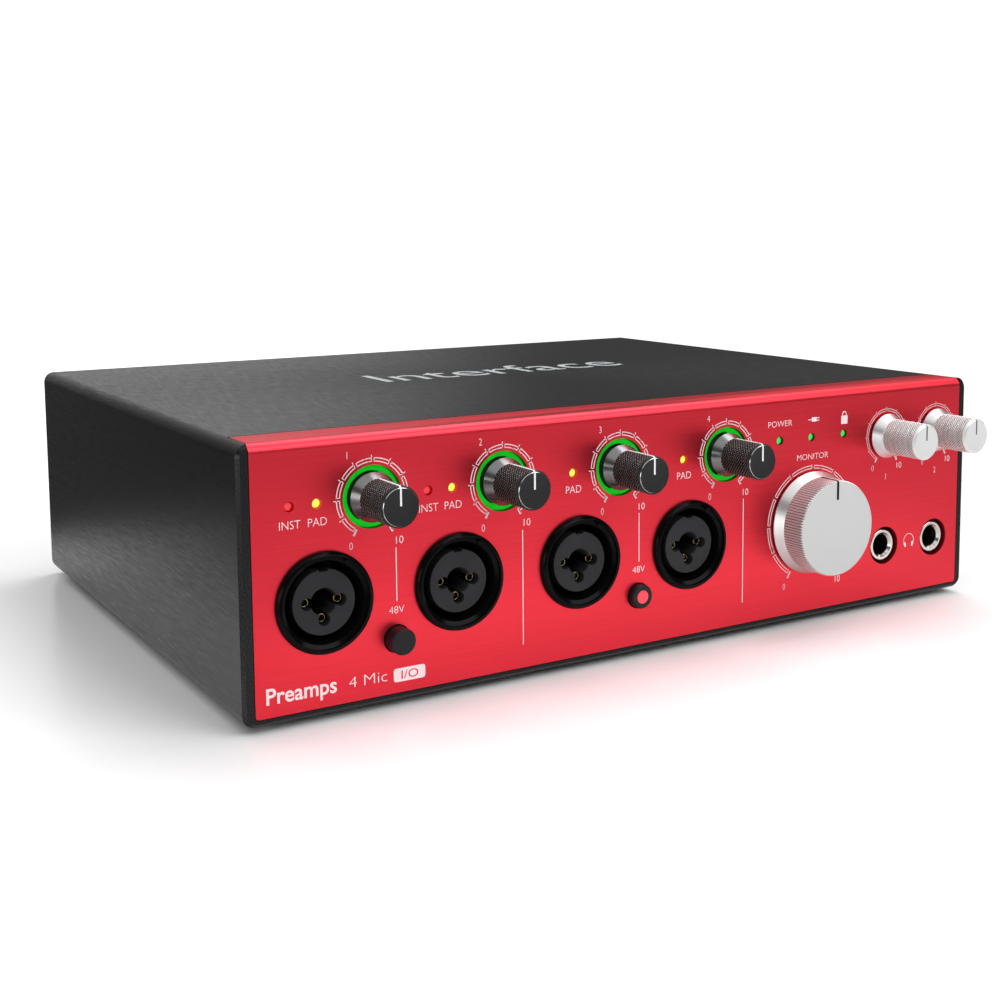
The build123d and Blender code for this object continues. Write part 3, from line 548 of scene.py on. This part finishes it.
def straight_knurl(teeth, depth):
    """Grooves along the barrel."""
    wall = 1.5

    def relief(angle, reach):
        height = triangle_wave(teeth * angle / (2 * pi))
        return depth * (1.0 - min(1.0, wall * height))

    return relief


# ---------------------------------------------------------------- knobs

KNOB_LIFT = 0.5  # gap between the red face and the back of a knob
SKIRT_FLAT = 0.35
SKIRT_CHAMFER = 0.12
CONE_LENGTH = 2.8
UNDERCUT = 0.7  # the cone ends this far inside the barrel
EDGE = 0.1  # width of the narrow bright edges
RIM_WIDTH = 0.09
RIM_SLOPE = 0.12
FACE_SUNK = 0.03  # the face lies this far behind its rim
FACE_HUB = 0.6
KNURL_STEP = 0.14


class KnobSize(NamedTuple):
    """Radii of the skirt, the barrel and the face and the length of the bevel, in mm."""

    skirt: float
    barrel: float
    face: float
    bevel: float


GAIN_SIZE = KnobSize(skirt=6.15, barrel=5.05, face=4.5, bevel=0.75)
GAIN_CELLS = 32
PHONES_SIZE = KnobSize(skirt=6.7, barrel=5.35, face=4.65, bevel=0.8)
PHONES_CELLS = 46
MONITOR_SIZE = KnobSize(skirt=15.15, barrel=13.9, face=13.45, bevel=0.35)
MONITOR_TEETH = 110
MONITOR_TOOTH_WIDTH = 0.17


def barrel_profile(reach, size):
    """From the back: a polished skirt that narrows under the knurled barrel."""
    skirt_front = KNOB_LIFT + SKIRT_FLAT
    cone_front = skirt_front + CONE_LENGTH
    return [
        (0.0, KNOB_LIFT, "plain"),
        (size.skirt - SKIRT_CHAMFER, KNOB_LIFT, "plain"),
        (size.skirt, KNOB_LIFT + EDGE, "skirt"),
        (size.skirt, skirt_front, "skirt"),
        (size.barrel - UNDERCUT, cone_front, "skirt"),
        (size.barrel, cone_front + EDGE / 2, "plain"),
        (size.barrel, reach - size.bevel, "knurl"),
    ]


def bevel_profile(reach, size):
    """A bevel behind the face, with a bright edge at the barrel."""
    barrel_edge = (size.barrel, reach - size.bevel + EDGE, "rim")
    return [barrel_edge, (size.face + RIM_WIDTH, reach - RIM_SLOPE, "face")]


def face_profile(reach, size):
    """The face inside its bright rim."""
    front = reach - FACE_SUNK
    rim = [(size.face, reach, "rim"), (size.face - EDGE, front, "face")]
    return rim + [(FACE_HUB, front, "face"), (0.0, front, "face")]


def small_knob_profile(reach, size):
    points = barrel_profile(reach, size) + bevel_profile(reach, size) + face_profile(reach, size)
    return subdivided(points, KNURL_STEP)


def monitor_knob_profile(reach):
    """The monitor knob has no bevel: its teeth run up to the rim of the face."""
    teeth = (MONITOR_SIZE.face + MONITOR_TOOTH_WIDTH, reach - FACE_SUNK, "teeth")
    return barrel_profile(reach, MONITOR_SIZE) + [teeth] + face_profile(reach, MONITOR_SIZE)


POINTER_THICKNESS = 0.06
POINTER_DEPTH = 0.3


def pointer(name, place, path, width, look, body, slot):
    """A filled groove over the knob at 12 o'clock: path is (radius, reach) in mm, centre first."""
    bm = bmesh.new()
    half = width / 2 * MM
    outer = [(r + POINTER_THICKNESS, d + POINTER_THICKNESS) for r, d in path]
    outer[0] = (path[0][0], path[0][1] + POINTER_THICKNESS)
    outer[-1] = (path[-1][0] + POINTER_THICKNESS, path[-1][1])
    inner = [(r - POINTER_DEPTH, d - POINTER_DEPTH) for r, d in path]
    inner[0] = (path[0][0], path[0][1] - POINTER_DEPTH)
    inner[-1] = (path[-1][0] - POINTER_DEPTH, path[-1][1])
    sides = []
    for x in (-half, half):
        top = [bm.verts.new((x, -d * MM, r * MM)) for r, d in outer]
        bottom = [bm.verts.new((x, -d * MM, r * MM)) for r, d in inner]
        sides.append((top, bottom))
    (top_l, bottom_l), (top_r, bottom_r) = sides
    for i in range(len(path) - 1):
        bm.faces.new((top_l[i], top_l[i + 1], top_r[i + 1], top_r[i]))
        bm.faces.new((bottom_l[i], bottom_r[i], bottom_r[i + 1], bottom_l[i + 1]))
        bm.faces.new((top_l[i], bottom_l[i], bottom_l[i + 1], top_l[i + 1]))
        bm.faces.new((top_r[i], top_r[i + 1], bottom_r[i + 1], bottom_r[i]))
    for end in (0, -1):
        bm.faces.new((top_l[end], top_r[end], bottom_r[end], bottom_l[end]))
    piece = make_object(name, mesh_from(bm, name), [look], place)
    finish_piece(piece, body, slot)


def on_face(centre):
    return Vector((centre.x, FACE_Y, centre.z))


def make_gain_knobs():
    """Black knobs with a diamond knurl. The white pointer runs back along the barrel."""
    # The last look is painted shade for the deep faces of the knurl.
    looks = [KNOB_BLACK, KNOB_BLACK_FACE, KNOB_BLACK_SKIRT, KNOB_BLACK_RIM, KNOB_BLACK_GROOVE_PAINTED_SHADE]
    size, knurl = GAIN_SIZE, diamond_knurl(GAIN_CELLS, 1.0, 0.26)
    groove, pointer_start, pointer_back, pointer_width = 0.08, 0.3, 3.9, 0.48
    for number, centre in enumerate(GAIN, start=1):
        reach, place = reach_of(f"gain_knob_{number}") / MM, on_face(centre)
        profile, name = small_knob_profile(reach, size), f"gain_knob_{number}_turned"
        knob = turned(name, profile, 10 * GAIN_CELLS, knurl, looks, place, groove)
        body = f"gain_{number}"
        finish_piece(knob, body, "knob_black", f"gain_knob_{number}")
        path = [(pointer_start, reach - FACE_SUNK), (size.face, reach - FACE_SUNK)]
        path.append((size.barrel - EDGE / 2, reach - size.bevel + EDGE / 2))
        path.append((size.barrel, pointer_back))
        name = f"gain_pointer_{number}"
        pointer(name, place, path, pointer_width, INK_WHITE, body, "knob_black")


def make_phones_knobs():
    """Small silver knobs with a diamond knurl and a grey pointer on the face and the bevel."""
    # The last look is painted shade for the deep faces of the knurl.
    looks = [PHONES_METAL, KNOB_FACE, KNOB_POLISHED, KNOB_POLISHED, PHONES_GROOVE_PAINTED_SHADE]
    size, knurl = PHONES_SIZE, diamond_knurl(PHONES_CELLS, 0.9, 0.2)
    groove, pointer_start, pointer_width = 0.1, 0.5, 0.42
    for number, centre in enumerate(PHONES, start=1):
        reach, place = reach_of(f"phones_knob_{number}") / MM, on_face(centre)
        profile, name = small_knob_profile(reach, size), f"phones_knob_{number}_turned"
        knob = turned(name, profile, 8 * PHONES_CELLS, knurl, looks, place, groove)
        body = f"phones_{number}"
        finish_piece(knob, body, "knob_silver", f"phones_knob_{number}")
        path = [(pointer_start, reach - FACE_SUNK), (size.face - EDGE / 2, reach - FACE_SUNK)]
        path.append((size.barrel - EDGE, reach - size.bevel + EDGE))
        name = f"phones_pointer_{number}"
        pointer(name, place, path, pointer_width, POINTER_GREY, body, "knob_silver")


def make_monitor_knob():
    """The large silver knob with straight teeth and a black pointer back along the barrel."""
    # The last look is painted shade for the deep faces of the teeth.
    looks = [KNOB_METAL, MONITOR_FACE, KNOB_POLISHED, KNOB_POLISHED, KNOB_GROOVE_PAINTED_SHADE]
    size, knurl = MONITOR_SIZE, straight_knurl(MONITOR_TEETH, 0.38)
    groove, pointer_start, pointer_back, pointer_width = 0.15, 8.4, 4.2, 0.8
    reach, place = reach_of("monitor_knob") / MM, on_face(MONITOR)
    profile, name = monitor_knob_profile(reach), "monitor_knob_turned"
    knob = turned(name, profile, 8 * MONITOR_TEETH, knurl, looks, place, groove)
    finish_piece(knob, "monitor", "knob_silver", "monitor_knob")
    path = [(pointer_start, reach - FACE_SUNK), (size.face, reach - FACE_SUNK)]
    path.append((size.barrel, reach - size.bevel))
    path.append((size.barrel + EDGE / 2, pointer_back))
    name = "monitor_pointer"
    pointer(name, place, path, pointer_width, INK_BLACK, "monitor", "knob_silver")


LENS_RADIUS = 1.8
LENS_DEPTH = 0.4
LENS_RISE = 0.02
LENS_DOME = 0.12
LENS_STEPS = 5


def make_button_lens():
    """The red light in the middle of the second phantom button, which is on."""
    reach = reach_of("phantom_button_2") / MM
    back, front = reach - LENS_DEPTH, reach + LENS_RISE
    profile = [(0.0, back, "plain"), (LENS_RADIUS, back, "plain"), (LENS_RADIUS, front, "plain")]
    for step in range(1, LENS_STEPS):
        turn = radians(90 * step / LENS_STEPS)
        profile.append((LENS_RADIUS * cos(turn), front + LENS_DOME * sin(turn), "plain"))
    profile.append((0.0, front + LENS_DOME, "plain"))
    lens = turned("phantom_lens", profile, 48, None, [BUTTON_LIGHT], on_face(PHANTOM[1]))
    finish_piece(lens, "phantom_2", "lamp_red")


# ---------------------------------------------------------------- printed markings

INK_HEIGHT = 0.03
CAPITAL = 0.729  # height of a capital letter in Blender's own font at size 1
FINE = -0.012  # makes small lettering thinner than the font
SAME_PLACE = 1e-7


class Print:
    """Flat printed shapes on one plane, kept as thin closed solids in a single mesh. across and
    up are the plane's own directions, and out points off the surface."""

    def __init__(self, origin, across, up):
        self.bm = bmesh.new()
        self.origin, self.across, self.up = Vector(origin), Vector(across), Vector(up)
        self.out = self.across.cross(self.up)

    def point(self, u, v, height):
        return self.origin + self.across * u * MM + self.up * v * MM + self.out * height * MM

    def solid(self, outline):
        """A thin solid over a convex outline of (u, v) points in mm."""
        layers = []
        for height in (-INK_HEIGHT, INK_HEIGHT):
            layers.append([self.bm.verts.new(self.point(u, v, height)) for u, v in outline])
        below, above = layers
        self.bm.faces.new(above)
        self.bm.faces.new(below[::-1])
        for i in range(len(outline)):
            after = (i + 1) % len(outline)
            self.bm.faces.new((below[i], below[after], above[after], above[i]))

    def bar(self, start, end, width):
        (u0, v0), (u1, v1) = start, end
        along = Vector((u1 - u0, v1 - v0)).normalized()
        side = Vector((-along.y, along.x)) * width / 2
        ends = [(u0 + side.x, v0 + side.y), (u1 + side.x, v1 + side.y)]
        ends += [(u1 - side.x, v1 - side.y), (u0 - side.x, v0 - side.y)]
        self.solid(ends)

    def band(self, centre, inner, outer, first, last, step=5.0):
        """Part of a ring, from first to last degrees clockwise from 12 o'clock, in straight
        pieces of about step degrees."""
        count = max(1, round(abs(last - first) / step))
        angles = [radians(first + (last - first) * i / count) for i in range(count + 1)]
        for a, b in zip(angles, angles[1:]):
            corners = [(outer, a), (outer, b), (inner, b), (inner, a)]
            self.solid([(centre[0] + r * sin(t), centre[1] + r * cos(t)) for r, t in corners])

    def write(self, text, at, height, width=1.0, weight=0.0, align="CENTER"):
        """Lettering with capitals height mm tall and its baseline at the point at. width
        stretches it sideways and weight thickens it."""
        size = height * MM / CAPITAL
        curve = bpy.data.curves.new("lettering", "FONT")
        curve.body = text
        curve.align_x = align
        curve.offset = weight
        curve.extrude = INK_HEIGHT * MM / size
        curve.resolution_u = 4
        holder = bpy.data.objects.new("lettering", curve)
        mesh = bpy.data.meshes.new_from_object(holder)
        axes = Matrix((self.across * size * width, self.up * size, self.out * size)).transposed()
        mesh.transform(Matrix.Translation(self.point(*at, 0.0)) @ axes.to_4x4())
        self.bm.from_mesh(mesh)
        bpy.data.meshes.remove(mesh)
        bpy.data.objects.remove(holder)
        bpy.data.curves.remove(curve)

    def done(self, name, look, body, slot):
        bmesh.ops.remove_doubles(self.bm, verts=self.bm.verts[:], dist=SAME_PLACE)
        piece = make_object(name, mesh_from(self.bm, name), [look])
        finish_piece(piece, body, slot)


# ---------------------------------------------------------------- markings round the knobs

SCALE_SWEEP = 150.0  # degrees to each side of 12 o'clock
SCALE_STEP = 30.0
END_LINE = 0.5
TICK_TURN = 45.0  # degrees that a tick takes if its line is as wide as its radius
END_TURN = 55.0
DIGIT_HEIGHT = 1.95
NARROW = 0.8


class Dial(NamedTuple):
    """Radii in mm of a segment's two lines, of the ticks and of the end ticks, the width of a
    line, the gap between segments in degrees, and the places of 0 and 10 from the centre."""

    inner: float
    outer: float
    tick: float
    end: float
    line: float
    gap: float
    zero: tuple
    ten: tuple


GAIN_DIAL = Dial(8.65, 9.45, 10.2, 10.4, line=0.25, gap=3.0, zero=(-5.9, -12.3), ten=(6.8, -12.3))
PHONES_DIAL = Dial(7.5, 8.15, 8.75, 9.1, line=0.16, gap=2.4, zero=(-5.5, -10.5), ten=(5.4, -10.5))
MONITOR_DIAL = Dial(
    15.95, 16.75, 17.1, 18.1, line=0.24, gap=2.4, zero=(-10.3, -19.0), ten=(10.6, -19.5)
)


def dial_scale(ink, centre, dial):
    """Ten outlined segments round a knob, each closed by a tick, and a bold tick at each end."""
    place = (centre.x / MM, centre.z / MM)
    half_line = dial.line / 2
    width = TICK_TURN * dial.line / dial.inner
    start = -SCALE_SWEEP
    while start < SCALE_SWEEP:
        first, last = start + dial.gap, start + SCALE_STEP
        for radius in (dial.inner, dial.outer):
            ink.band(place, radius - half_line, radius + half_line, first, last)
        ink.band(place, dial.inner, dial.outer, first, first + width)
        ink.band(place, dial.inner, dial.tick, last - width, last)
        start += SCALE_STEP
    heavy = END_TURN * END_LINE / dial.inner / 2
    for last in (-SCALE_SWEEP, SCALE_SWEEP):
        ink.band(place, dial.inner, dial.end, last - heavy, last + heavy)


def numeral(ink, text, centre, offset):
    """A number beside a knob, offset in mm from its centre. A single digit is drawn narrow."""
    place = (centre.x / MM + offset[0], centre.z / MM + offset[1])
    ink.write(text, place, DIGIT_HEIGHT, NARROW if len(text) == 1 else 1.0, FINE)


def print_dial(ink, centre, dial):
    dial_scale(ink, centre, dial)
    numeral(ink, "0", centre, dial.zero)
    numeral(ink, "10", centre, dial.ten)


# ---------------------------------------------------------------- small pictures

THIN_LINE = 0.22


def arch(ink, centre, radius, line, reach):
    """Part of a ring that runs reach degrees to each side of the top."""
    ink.band(centre, radius - line / 2, radius + line / 2, -reach, reach, 12.0)


def box(ink, left, right, low, high):
    ink.solid([(left, low), (right, low), (right, high), (left, high)])


def plug_icon(ink, u, v):
    """A small plug on its lead: body, two prongs and a tail."""
    half_length, half_height, prong, prong_length, tail_length = 0.9, 0.65, 0.36, 1.1, 1.4
    box(ink, u - half_length, u + half_length, v - half_height, v + half_height)
    for side in (-prong, prong):
        start = u + half_length
        ink.bar((start, v + side), (start + prong_length, v + side), 0.24)
    ink.bar((u - half_length, v), (u - half_length - tail_length, v), THIN_LINE)


def lock_icon(ink, u, v):
    """A closed padlock: body and shackle."""
    half_width, low, high, shackle, line = 1.25, -2.2, 0.3, 0.72, 0.32
    box(ink, u - half_width, u + half_width, v + low, v + high)
    arch(ink, (u, v + 0.75), shackle, line, 90.0)
    for side in (-shackle, shackle):
        ink.bar((u + side, v + 0.25), (u + side, v + 0.8), line)


def headphones_icon(ink, u, v):
    """A headband with a cup at each end."""
    line = 0.16
    arch(ink, (u, v), 2.15, line, 100.0)
    cup = [(1.9, -0.45), (1.3, -0.45), (1.1, -1.85), (1.7, -1.85)]
    for side in (-1, 1):
        ink.bar((u + side * 2.12, v + 0.1), (u + side * 1.92, v - 1.3), line)
        ink.solid([(u + side * a, v + b) for a, b in cup][::side])


# ---------------------------------------------------------------- what is printed where

SEPARATORS_X = (-44.0, 29.4)
SEPARATOR_LOW = 10.1
SEPARATOR_HIGH = 40.3


def front_plane(lift=0.0):
    """A print on the red face, lift mm in front of it."""
    return Print((0.0, FACE_Y - lift * MM, 0.0), (1, 0, 0), (0, 0, 1))


def print_channels(ink):
    """Dials and channel numbers, lamp words, and the lines that part the channels."""
    for number, centre in enumerate(GAIN, start=1):
        print_dial(ink, centre, GAIN_DIAL)
        numeral(ink, str(number), centre, (-6.5, 9.7))
    word_z = GAIN[0].z / MM - 5.4
    for word, lamps in (("INST", "instrument_lamps"), ("PAD", "channel_lamps")):
        for x in lamp_places(lamps):
            ink.write(word, (x, word_z), 2.1, 0.93, FINE)
    for x in SEPARATORS_X:
        ink.bar((x, SEPARATOR_LOW), (x, SEPARATOR_HIGH), THIN_LINE)


def print_buttons(ink):
    """48V over each phantom power button, with a line up to the channels that it feeds."""
    for button in PHANTOM:
        x, z = button.x / MM, button.z / MM
        ink.write("48V", (x, z + 6.4), 1.9, 1.0, FINE)
        ink.bar((x + 0.1, z + 9.4), (x + 0.1, z + 22.8), THIN_LINE)


def print_status(ink):
    """A word and two small pictures over the status lamps."""
    power, plug, lock = lamp_places("status_lamps")
    z = centre_of("status_lamps").z / MM
    ink.write("POWER", (power - 0.1, z + 4.1), 1.8, 1.08, FINE)
    plug_icon(ink, plug + 0.8, z + 5.2)
    lock_icon(ink, lock, z + 5.1)


def print_monitoring(ink):
    """The monitor dial, the headphone dials with their numbers, and the headphones picture."""
    x, z = MONITOR.x / MM, MONITOR.z / MM
    ink.write("MONITOR", (x + 0.1, z + 18.7), 1.8, 1.08, FINE)
    print_dial(ink, MONITOR, MONITOR_DIAL)
    for number, centre in enumerate(PHONES, start=1):
        print_dial(ink, centre, PHONES_DIAL)
        numeral(ink, str(number), centre, (0.0, -13.5))
    headphones_icon(ink, 96.0, 19.8)


def print_front():
    ink = front_plane()
    print_channels(ink)
    print_buttons(ink)
    print_status(ink)
    print_monitoring(ink)
    ink.write("Preamps", (-114.6, 7.15), 4.0, 0.96, 0.016, "LEFT")
    ink.write("4 Mic", (-93.4, 7.4), 2.9, 1.2, -0.018, "LEFT")
    ink.done("front_print", INK, "chassis", "panel_red")


def lamp_places(name):
    """The x places in mm of the round lamps in one node, from left to right."""
    lamp_room = 3.0  # no two lamps are this close, and each is narrower than this
    groups = []
    for x in sorted(vertex.co.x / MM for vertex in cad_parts[name].data.vertices):
        if groups and x - groups[-1][0] < lamp_room:
            groups[-1].append(x)
        else:
            groups.append([x])
    return [(group[0] + group[-1]) / 2 for group in groups]


def print_tag():
    """The small pale tag with round corners and red letters at the bottom left."""
    left, right, low, high, corner = -81.3, -72.6, 6.6, 10.0, 0.7
    corners = [
        (right - corner, high - corner, 0),
        (left + corner, high - corner, 90),
        (left + corner, low + corner, 180),
        (right - corner, low + corner, 270),
    ]
    outline = []
    for u, v, first in corners:
        for turn in (0, 30, 60, 90):
            angle = radians(first + turn)
            outline.append((u + corner * cos(angle), v + corner * sin(angle)))
    tag = front_plane()
    tag.solid(outline)
    tag.done("front_tag", INK, "chassis", "panel_red")
    letters = front_plane(lift=INK_HEIGHT)
    letters.write("I/O", ((left + right) / 2, 7.25), 2.2, 1.25)
    letters.done("front_tag_letters", RED, "chassis", "panel_red")


def print_top():
    ink = Print((0.0, 0.0, TOP_Z), (1, 0, 0), (0, 1, 0))
    ink.write("Interface", (8.5, 5.0), 21.0, 0.92)
    ink.done("top_print", INK_GREY, "chassis", "case_black")


def print_rear():
    """Plain function words beside the rear connectors, placed as seen from behind."""
    ink = Print((0.0, REAR_Y, 0.0), (-1, 0, 0), (0, 0, 1))
    words = [
        ("LINE OUT", 68.5, 56.5),
        ("MIDI IN", -28.0, 39.0),
        ("OUT", -3.0, 39.0),
        ("DIGITAL", 17.0, 50.0),
        ("OPTICAL", -48.0, 26.5),
        ("USB", -64.0, 20.5),
        ("DC 12V", -80.0, 27.5),
        ("POWER", -98.0, 53.0),
    ]
    for word, across, height in words:
        ink.write(word, (across, height), 2.0, 0.9, -0.01)
    ink.done("rear_print", INK_WHITE, "chassis", "rear_black")


# ---------------------------------------------------------------- floor, light and camera


FLOOR_SIZE = 8.0
FOOTPRINT = (0.12, 0.09, 0.0)  # half the width and the depth of the case
MIRROR_FADE = (0.015, 0.11)  # distances from the case over which its reflection goes dark
SEEN_FADE = (0.06, 0.26)  # and over which the table turns into the white background
FAR_GREY = (0.06, 0.06, 0.06, 1.0)


def make_floor():
    """A white table round the object. Further out it is dark to reflections but still white to
    look at, so that the sides of the case mirror a dark room."""
    bpy.ops.mesh.primitive_plane_add(size=FLOOR_SIZE, location=(0.0, 0.0, 0.0))
    floor_piece = bpy.context.object
    floor_piece.name = "floor"
    look = new_material("floor_white", Roughness=0.28, Specular_IOR_Level=0.5)
    shader_of(look).inputs["Emission Color"].default_value = (1, 1, 1, 1)
    tree = look.node_tree
    place = tree.nodes.new("ShaderNodeTexCoord").outputs["Object"]
    size = vector_math(tree, "ABSOLUTE", place)
    beyond = vector_math(tree, "SUBTRACT", size.outputs["Vector"], FOOTPRINT)
    outside = vector_math(tree, "MAXIMUM", beyond.outputs["Vector"], (0.0, 0.0, 0.0))
    distance = vector_math(tree, "LENGTH", outside.outputs["Vector"])

    def beyond_by(near, far):
        share = node(tree, "ShaderNodeMapRange", From_Min=near, From_Max=far)
        share.interpolation_type = "SMOOTHSTEP"
        tree.links.new(distance.outputs["Value"], share.inputs["Value"])
        return share.outputs["Result"]

    cloud = noise(look, (400.0, 400.0, 400.0), 1.0)
    whites = [(NOISE_LOW, (0.92, 0.92, 0.925)), (NOISE_HIGH, (0.94, 0.94, 0.945))]
    path = tree.nodes.new("ShaderNodeLightPath")
    fades = node(tree, "ShaderNodeMix")
    tree.links.new(path.outputs["Is Camera Ray"], fades.inputs["Factor"])
    tree.links.new(beyond_by(*MIRROR_FADE), fades.inputs["A"])
    tree.links.new(beyond_by(*SEEN_FADE), fades.inputs["B"])
    colour = node(tree, "ShaderNodeMix")
    colour.data_type = "RGBA"
    factor, near_colour, far_colour = (colour.inputs[index] for index in (0, 6, 7))
    tree.links.new(fades.outputs["Result"], factor)
    tree.links.new(ramp(look, cloud, whites), near_colour)
    far_colour.default_value = FAR_GREY
    feed(look, "Base Color", colour.outputs[2])
    seen = tree.nodes.new("ShaderNodeMath")
    seen.operation = "MULTIPLY"
    tree.links.new(fades.outputs["Result"], seen.inputs[0])
    tree.links.new(path.outputs["Is Camera Ray"], seen.inputs[1])
    feed(look, "Emission Strength", seen.outputs["Value"])
    floor_piece.data.materials.append(look)


BACKGROUND_WHITE = 1.05


def make_world():
    """White to look at. In reflections it is a dark room with a bright ceiling, and a low glow
    behind that the top of the case catches."""
    world = bpy.data.worlds.new("studio")
    bpy.context.scene.world = world
    world.use_nodes = True
    tree = world.node_tree
    back = tree.nodes["Background"]
    back.inputs["Color"].default_value = (1.0, 1.0, 1.0, 1.0)
    direction = tree.nodes.new("ShaderNodeTexCoord").outputs["Generated"]

    def glow(towards, first, last, low, high):
        """Brightness from low to high as a direction turns towards one; first and last are
        cosines of the angle between them."""
        lean = vector_math(tree, "DOT_PRODUCT", direction, Vector(towards).normalized())
        share = node(tree, "ShaderNodeMapRange", From_Min=first, From_Max=last)
        share.inputs["To Min"].default_value = low
        share.inputs["To Max"].default_value = high
        share.interpolation_type = "SMOOTHSTEP"
        tree.links.new(lean.outputs["Value"], share.inputs["Value"])
        return share.outputs["Result"]

    def add(one, other):
        total = tree.nodes.new("ShaderNodeMath")
        tree.links.new(one, total.inputs[0])
        tree.links.new(other, total.inputs[1])
        return total.outputs["Value"]

    ceiling = glow((0.0, 0.0, 1.0), first=0.5, last=0.75, low=0.1, high=1.15)
    behind = glow((0.15, 0.98, 0.03), first=0.91, last=0.99, low=0.0, high=0.9)
    path = tree.nodes.new("ShaderNodeLightPath")
    pick = node(tree, "ShaderNodeMix")
    tree.links.new(path.outputs["Is Camera Ray"], pick.inputs["Factor"])
    tree.links.new(add(ceiling, behind), pick.inputs["A"])
    pick.inputs["B"].default_value = BACKGROUND_WHITE
    tree.links.new(pick.outputs["Result"], back.inputs["Strength"])


def area_light(name, place, aim, size, glow):
    """A softbox at place that faces aim; glow is its brightness next to the white of the
    background."""
    data = bpy.data.lights.new(name, "AREA")
    data.shape = "RECTANGLE"
    data.size, data.size_y = size
    data.energy = glow * pi * size[0] * size[1]
    lamp = bpy.data.objects.new(name, data)
    bpy.context.collection.objects.link(lamp)
    lamp.location = place
    lamp.rotation_euler = (Vector(aim) - Vector(place)).to_track_quat("-Z", "Y").to_euler()
    lamp.visible_camera = False


def table_card(name, x, y, size, glow):
    """A bright card that lies on the table and shines up."""
    area_light(name, (x, y, 0.001), (x, y, 1.0), size, glow)


def make_lights():
    """A softbox overhead on the right, one in front, white cards on the table left and in front,
    and a low bright strip on the left."""
    middle = (0.0, 0.0, 0.0)
    area_light("overhead", (0.45, 0.2, 1.1), middle, size=(0.9, 0.7), glow=3.6)
    area_light("front", (0.5, -1.0, 0.8), (0.0, -0.15, 0.0), size=(1.0, 0.8), glow=3.95)
    table_card("left_card", -0.141, 0.0, size=(0.04, 0.3), glow=0.275)
    table_card("front_card", 0.33, -0.53, size=(0.86, 0.8), glow=0.83)
    area_light("left_strip", (-0.45, -0.22, 0.08), (0.0, -0.1, 0.03), size=(0.5, 0.14), glow=3.0)


# Where the photograph was taken from, solved from the edges of the case
CAMERA_PLACE = (-0.22999, -0.39411, 0.12038)
CAMERA_AZIMUTH = -31.79
CAMERA_ELEVATION = 6.45
CAMERA_ROLL = -0.34
CAMERA_LENS = 51.13
CAMERA_SHIFT = (-0.0337, -0.1234)
SENSOR_WIDTH = 36.0


def make_camera():
    azimuth, elevation = radians(CAMERA_AZIMUTH), radians(CAMERA_ELEVATION)
    roll = radians(CAMERA_ROLL)
    back = Vector(
        (sin(azimuth) * cos(elevation), -cos(azimuth) * cos(elevation), sin(elevation))
    )
    level = Vector((0, 0, 1)).cross(back).normalized()
    upright = back.cross(level)
    right = level * cos(roll) + upright * sin(roll)
    up = upright * cos(roll) - level * sin(roll)
    data = bpy.data.cameras.new("camera")
    data.sensor_width = SENSOR_WIDTH
    data.lens = CAMERA_LENS
    data.shift_x, data.shift_y = CAMERA_SHIFT
    data.clip_start = 0.01
    camera = bpy.data.objects.new("camera", data)
    bpy.context.collection.objects.link(camera)
    turn = Matrix((right, up, back)).transposed().to_4x4()
    camera.matrix_world = Matrix.Translation(CAMERA_PLACE) @ turn
    bpy.context.scene.camera = camera


# ---------------------------------------------------------------- build

dress_cad_nodes()
make_gain_knobs()
make_phones_knobs()
make_monitor_knob()
make_button_lens()
print_front()
print_tag()
print_top()
print_rear()
make_floor()
make_world()
make_lights()
make_camera()

bpy.context.scene.view_settings.view_transform = "Standard"
